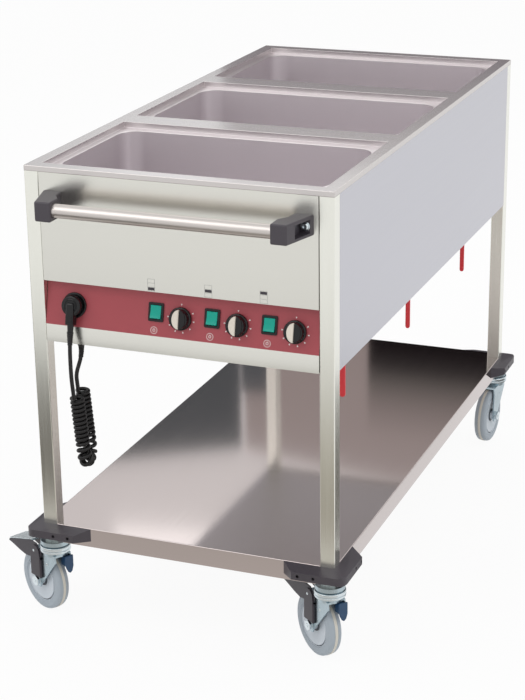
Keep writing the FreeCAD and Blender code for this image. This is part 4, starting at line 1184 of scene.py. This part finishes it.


# Painted reflections for the steel: glowing boards of a dark room behind, and of a floor that darkens near the trolley
# as painted shade.
PAINTED_REFLECTION_BOARDS = {
    "board_high": standing(2600, (-3200, -952), (1700, 1171), ((0, "575C60"), (1700, "65696C"))),
    "board_low": standing(2610, (-952, -854), (972, 962), ((0, "54595D"), (960, "62676B"))),
    "board_mid": standing(2640, (-952, 250), (1190, 1290), ((0, "948C8A"), (960, "B2A8A6"), (1290, "BAB1AF"))),
    "board_right": standing(2600, (-500, 250), (1060, 1060),
                            ((750, "181416"), (815, "383536"), (865, "6E6B68"), (940, "958D8B"), (1060, "B5ABA9"))),
    "board_above": Board(((-450, 1300, 908), (-450, 1300, 1275), (285, 1300, 1275), (285, 1300, 908)), "Z",
                         ((908, "8E888D"), (1000, "B0ABAD"), (1275, "CCC9C8"))),
    "board_front_left": lying((-2600, -450), (-1330, -60),
                              ((-1330, "F4F4F4"), (-1180, "6E6A64"), (-900, "5E5A55"), (-520, "5A554F"),
                               (-430, "CFCBC6"), (-60, "DEDAD6"))),
    "board_front": lying((-450, 700), (-1600, -60),
                         ((-1600, "FFFFFF"), (-1400, "D6D6D4"), (-963, "B5AEA4"), (-658, "9C978B"), (-520, "8E857B"),
                          (-430, "D2CEC8"), (-60, "E0DCD8"))),
    "board_side": lying((440, 780), (300, 1400), ((300, "4F4A45"), (1400, "5C5751"))),
}


@dataclass
class Studio:
    """The floor, the lamps, the glowing boards of painted reflection, the white surroundings and the camera."""

    eye: Point = (1283.68, -2840.73, 1700.18)
    yaw: float = 0.377
    pitch: float = 0.3466
    roll: float = -0.01432
    focal_px: float = 1865.35
    frame_px: float = 700.0
    sensor: float = 24.0

    def build(self) -> None:
        """Sets up the picture."""
        bpy.context.scene.view_settings.view_transform = "Standard"
        self.camera()
        self.floor()
        self.world()
        self.lamp("key", (-1.6, -2.6, 3.4), 26.0, 2.4)
        self.lamp("fill", (2.8, -0.6, 2.6), 12.0, 2.2)
        self.lamp("back", (-0.6, 2.6, 3.0), 14.0, 2.4)
        for name, board in PAINTED_REFLECTION_BOARDS.items():
            self.mirrored(name, board)

    def camera(self) -> None:
        """A camera at the photograph's place, with its direction and field of view."""
        sin_yaw, cos_yaw = math.sin(self.yaw), math.cos(self.yaw)
        sin_pitch, cos_pitch = math.sin(self.pitch), math.cos(self.pitch)
        forward = Vector((-sin_yaw * cos_pitch, cos_yaw * cos_pitch, -sin_pitch))
        level = Vector((cos_yaw, sin_yaw, 0.0))
        above = level.cross(forward)
        right = level * math.cos(self.roll) + above * math.sin(self.roll)
        up = above * math.cos(self.roll) - level * math.sin(self.roll)
        data = bpy.data.cameras.new("camera")
        data.sensor_fit = "VERTICAL"
        data.sensor_height = self.sensor
        data.lens = self.focal_px * self.sensor / self.frame_px
        data.clip_end = 50.0
        made = bpy.data.objects.new("camera", data)
        turn = Matrix((right, up, -forward)).transposed().to_4x4()
        made.matrix_world = Matrix.Translation(ROW @ Vector(self.eye)) @ turn
        bpy.context.scene.collection.objects.link(made)
        bpy.context.scene.camera = made

    def floor(self) -> None:
        """A wide white floor that keeps a soft shadow."""
        paint = bpy.data.materials.new("white floor")
        paint.use_nodes = True
        tree = paint.node_tree
        shader = tree.nodes["Principled BSDF"]
        shader.inputs["Base Color"].default_value = linear("F6F6F5")
        shader.inputs["Roughness"].default_value = 0.9
        glow = add_node(tree, "ShaderNodeEmission", {"Color": (1.0, 1.0, 1.0, 1.0), "Strength": 1.0})
        share = add_node(tree, "ShaderNodeMath", {"operation": "MULTIPLY", 1: 0.93}, {0: self.seen(tree)})
        add_node(tree, "ShaderNodeMixShader", {}, {0: share.outputs[0], 1: shader.outputs[0], 2: glow.outputs[0]})
        tree.links.new(tree.nodes["Mix Shader"].outputs[0], tree.nodes["Material Output"].inputs["Surface"])
        bm = bmesh.new()
        bmesh.ops.create_grid(bm, x_segments=1, y_segments=1, size=14.0)
        self.backdrop("floor", bm, paint)

    def mirrored(self, name: str, board: Board) -> None:
        """A glowing board that only reflections see, a painted reflection so that the mirror-like steel has depth.

        Args:
            name: its name.
            board: its place and tones.
        """
        paint = bpy.data.materials.new(name)
        paint.use_nodes = True
        tree = paint.node_tree
        tree.nodes.remove(tree.nodes["Principled BSDF"])
        place = add_node(tree, "ShaderNodeTexCoord", {}).outputs["Object"]
        axes = add_node(tree, "ShaderNodeSeparateXYZ", {}, {0: place})
        shift = ORIGIN.y / MM if board.axis == "Y" else 0.0
        low, high = board.tones[0][0], board.tones[-1][0]
        along = add_node(tree, "ShaderNodeMapRange", {"From Min": (low + shift) * MM, "From Max": (high + shift) * MM},
                         {"Value": axes.outputs[board.axis]})
        ramp = add_node(tree, "ShaderNodeValToRGB", {}, {0: along.outputs[0]})
        elements = ramp.color_ramp.elements
        for index, (spot, tone) in enumerate(board.tones):
            share = (spot - low) / (high - low)
            element = elements[index] if index < 2 else elements.new(share)
            element.position = share
            element.color = linear(tone)
        glow = add_node(tree, "ShaderNodeEmission", {"Strength": 1.0}, {"Color": ramp.outputs[0]})
        tree.links.new(glow.outputs[0], tree.nodes["Material Output"].inputs["Surface"])
        bm = bmesh.new()
        bm.faces.new([bm.verts.new(ROW @ Vector(c)) for c in board.corners])
        made = self.backdrop(name, bm, paint)
        made.visible_camera = False
        made.visible_diffuse = False
        made.visible_shadow = False

    def backdrop(self, name: str, bm: BMesh, paint: bpy.types.Material) -> bpy.types.Object:
        """Turns a mesh into a part of the studio and returns it."""
        mesh = bpy.data.meshes.new(name)
        bm.to_mesh(mesh)
        bm.free()
        mesh.materials.append(paint)
        made = bpy.data.objects.new(name, mesh)
        bpy.context.scene.collection.objects.link(made)
        return made

    def seen(self, tree: bpy.types.NodeTree) -> bpy.types.NodeSocket:
        """One where the eye, a reflection or a view through glass looks, and nothing for light.

        Args:
            tree: the node tree to add it to.

        Returns:
            The output with that value.
        """
        path = add_node(tree, "ShaderNodeLightPath", {})
        looks = add_node(tree, "ShaderNodeMath", {"operation": "MAXIMUM"},
                         {0: path.outputs["Is Camera Ray"], 1: path.outputs["Is Glossy Ray"]})
        return add_node(tree, "ShaderNodeMath", {"operation": "MAXIMUM"},
                        {0: looks.outputs[0], 1: path.outputs["Is Transmission Ray"]}).outputs[0]

    def world(self) -> None:
        """Surroundings that are white to the eye and in reflections, and softer as light."""
        world = bpy.data.worlds.new("white room")
        world.use_nodes = True
        bpy.context.scene.world = world
        tree = world.node_tree
        strength = add_node(tree, "ShaderNodeMapRange", {"To Min": 0.72, "To Max": 1.0}, {"Value": self.seen(tree)})
        background = tree.nodes["Background"]
        background.inputs["Color"].default_value = (1.0, 1.0, 1.0, 1.0)
        tree.links.new(strength.outputs[0], background.inputs["Strength"])

    def lamp(self, name: str, spot: Point, power: float, size: float) -> None:
        """A large soft lamp that points at the trolley's middle.

        Args:
            name: its name.
            spot: its place in metres.
            power: its power in watts.
            size: its width in metres.
        """
        data = bpy.data.lights.new(name, "AREA")
        data.energy = power
        data.size = size
        made = bpy.data.objects.new(name, data)
        aim = Vector((0.0, 0.0, 0.5)) - Vector(spot)
        made.matrix_world = Matrix.Translation(spot) @ aim.to_track_quat("-Z", "Y").to_matrix().to_4x4()
        bpy.context.scene.collection.objects.link(made)


def main() -> None:
    """Builds the trolley's pieces and the studio."""
    logging.basicConfig(level=logging.INFO, format="%(name)s %(message)s")
    strip = ControlStrip()
    Studio().build()
    MainsCord(strip).build()
    strip.build()
    Cabinet().build()
    PushHandle().build()
    CornerBumpers().build()
    dressed("caster_stems", ZINC)
    for corner in Corner:
        Caster(corner).build()
    Drains().build()


if __name__ == "__main__":
    main()
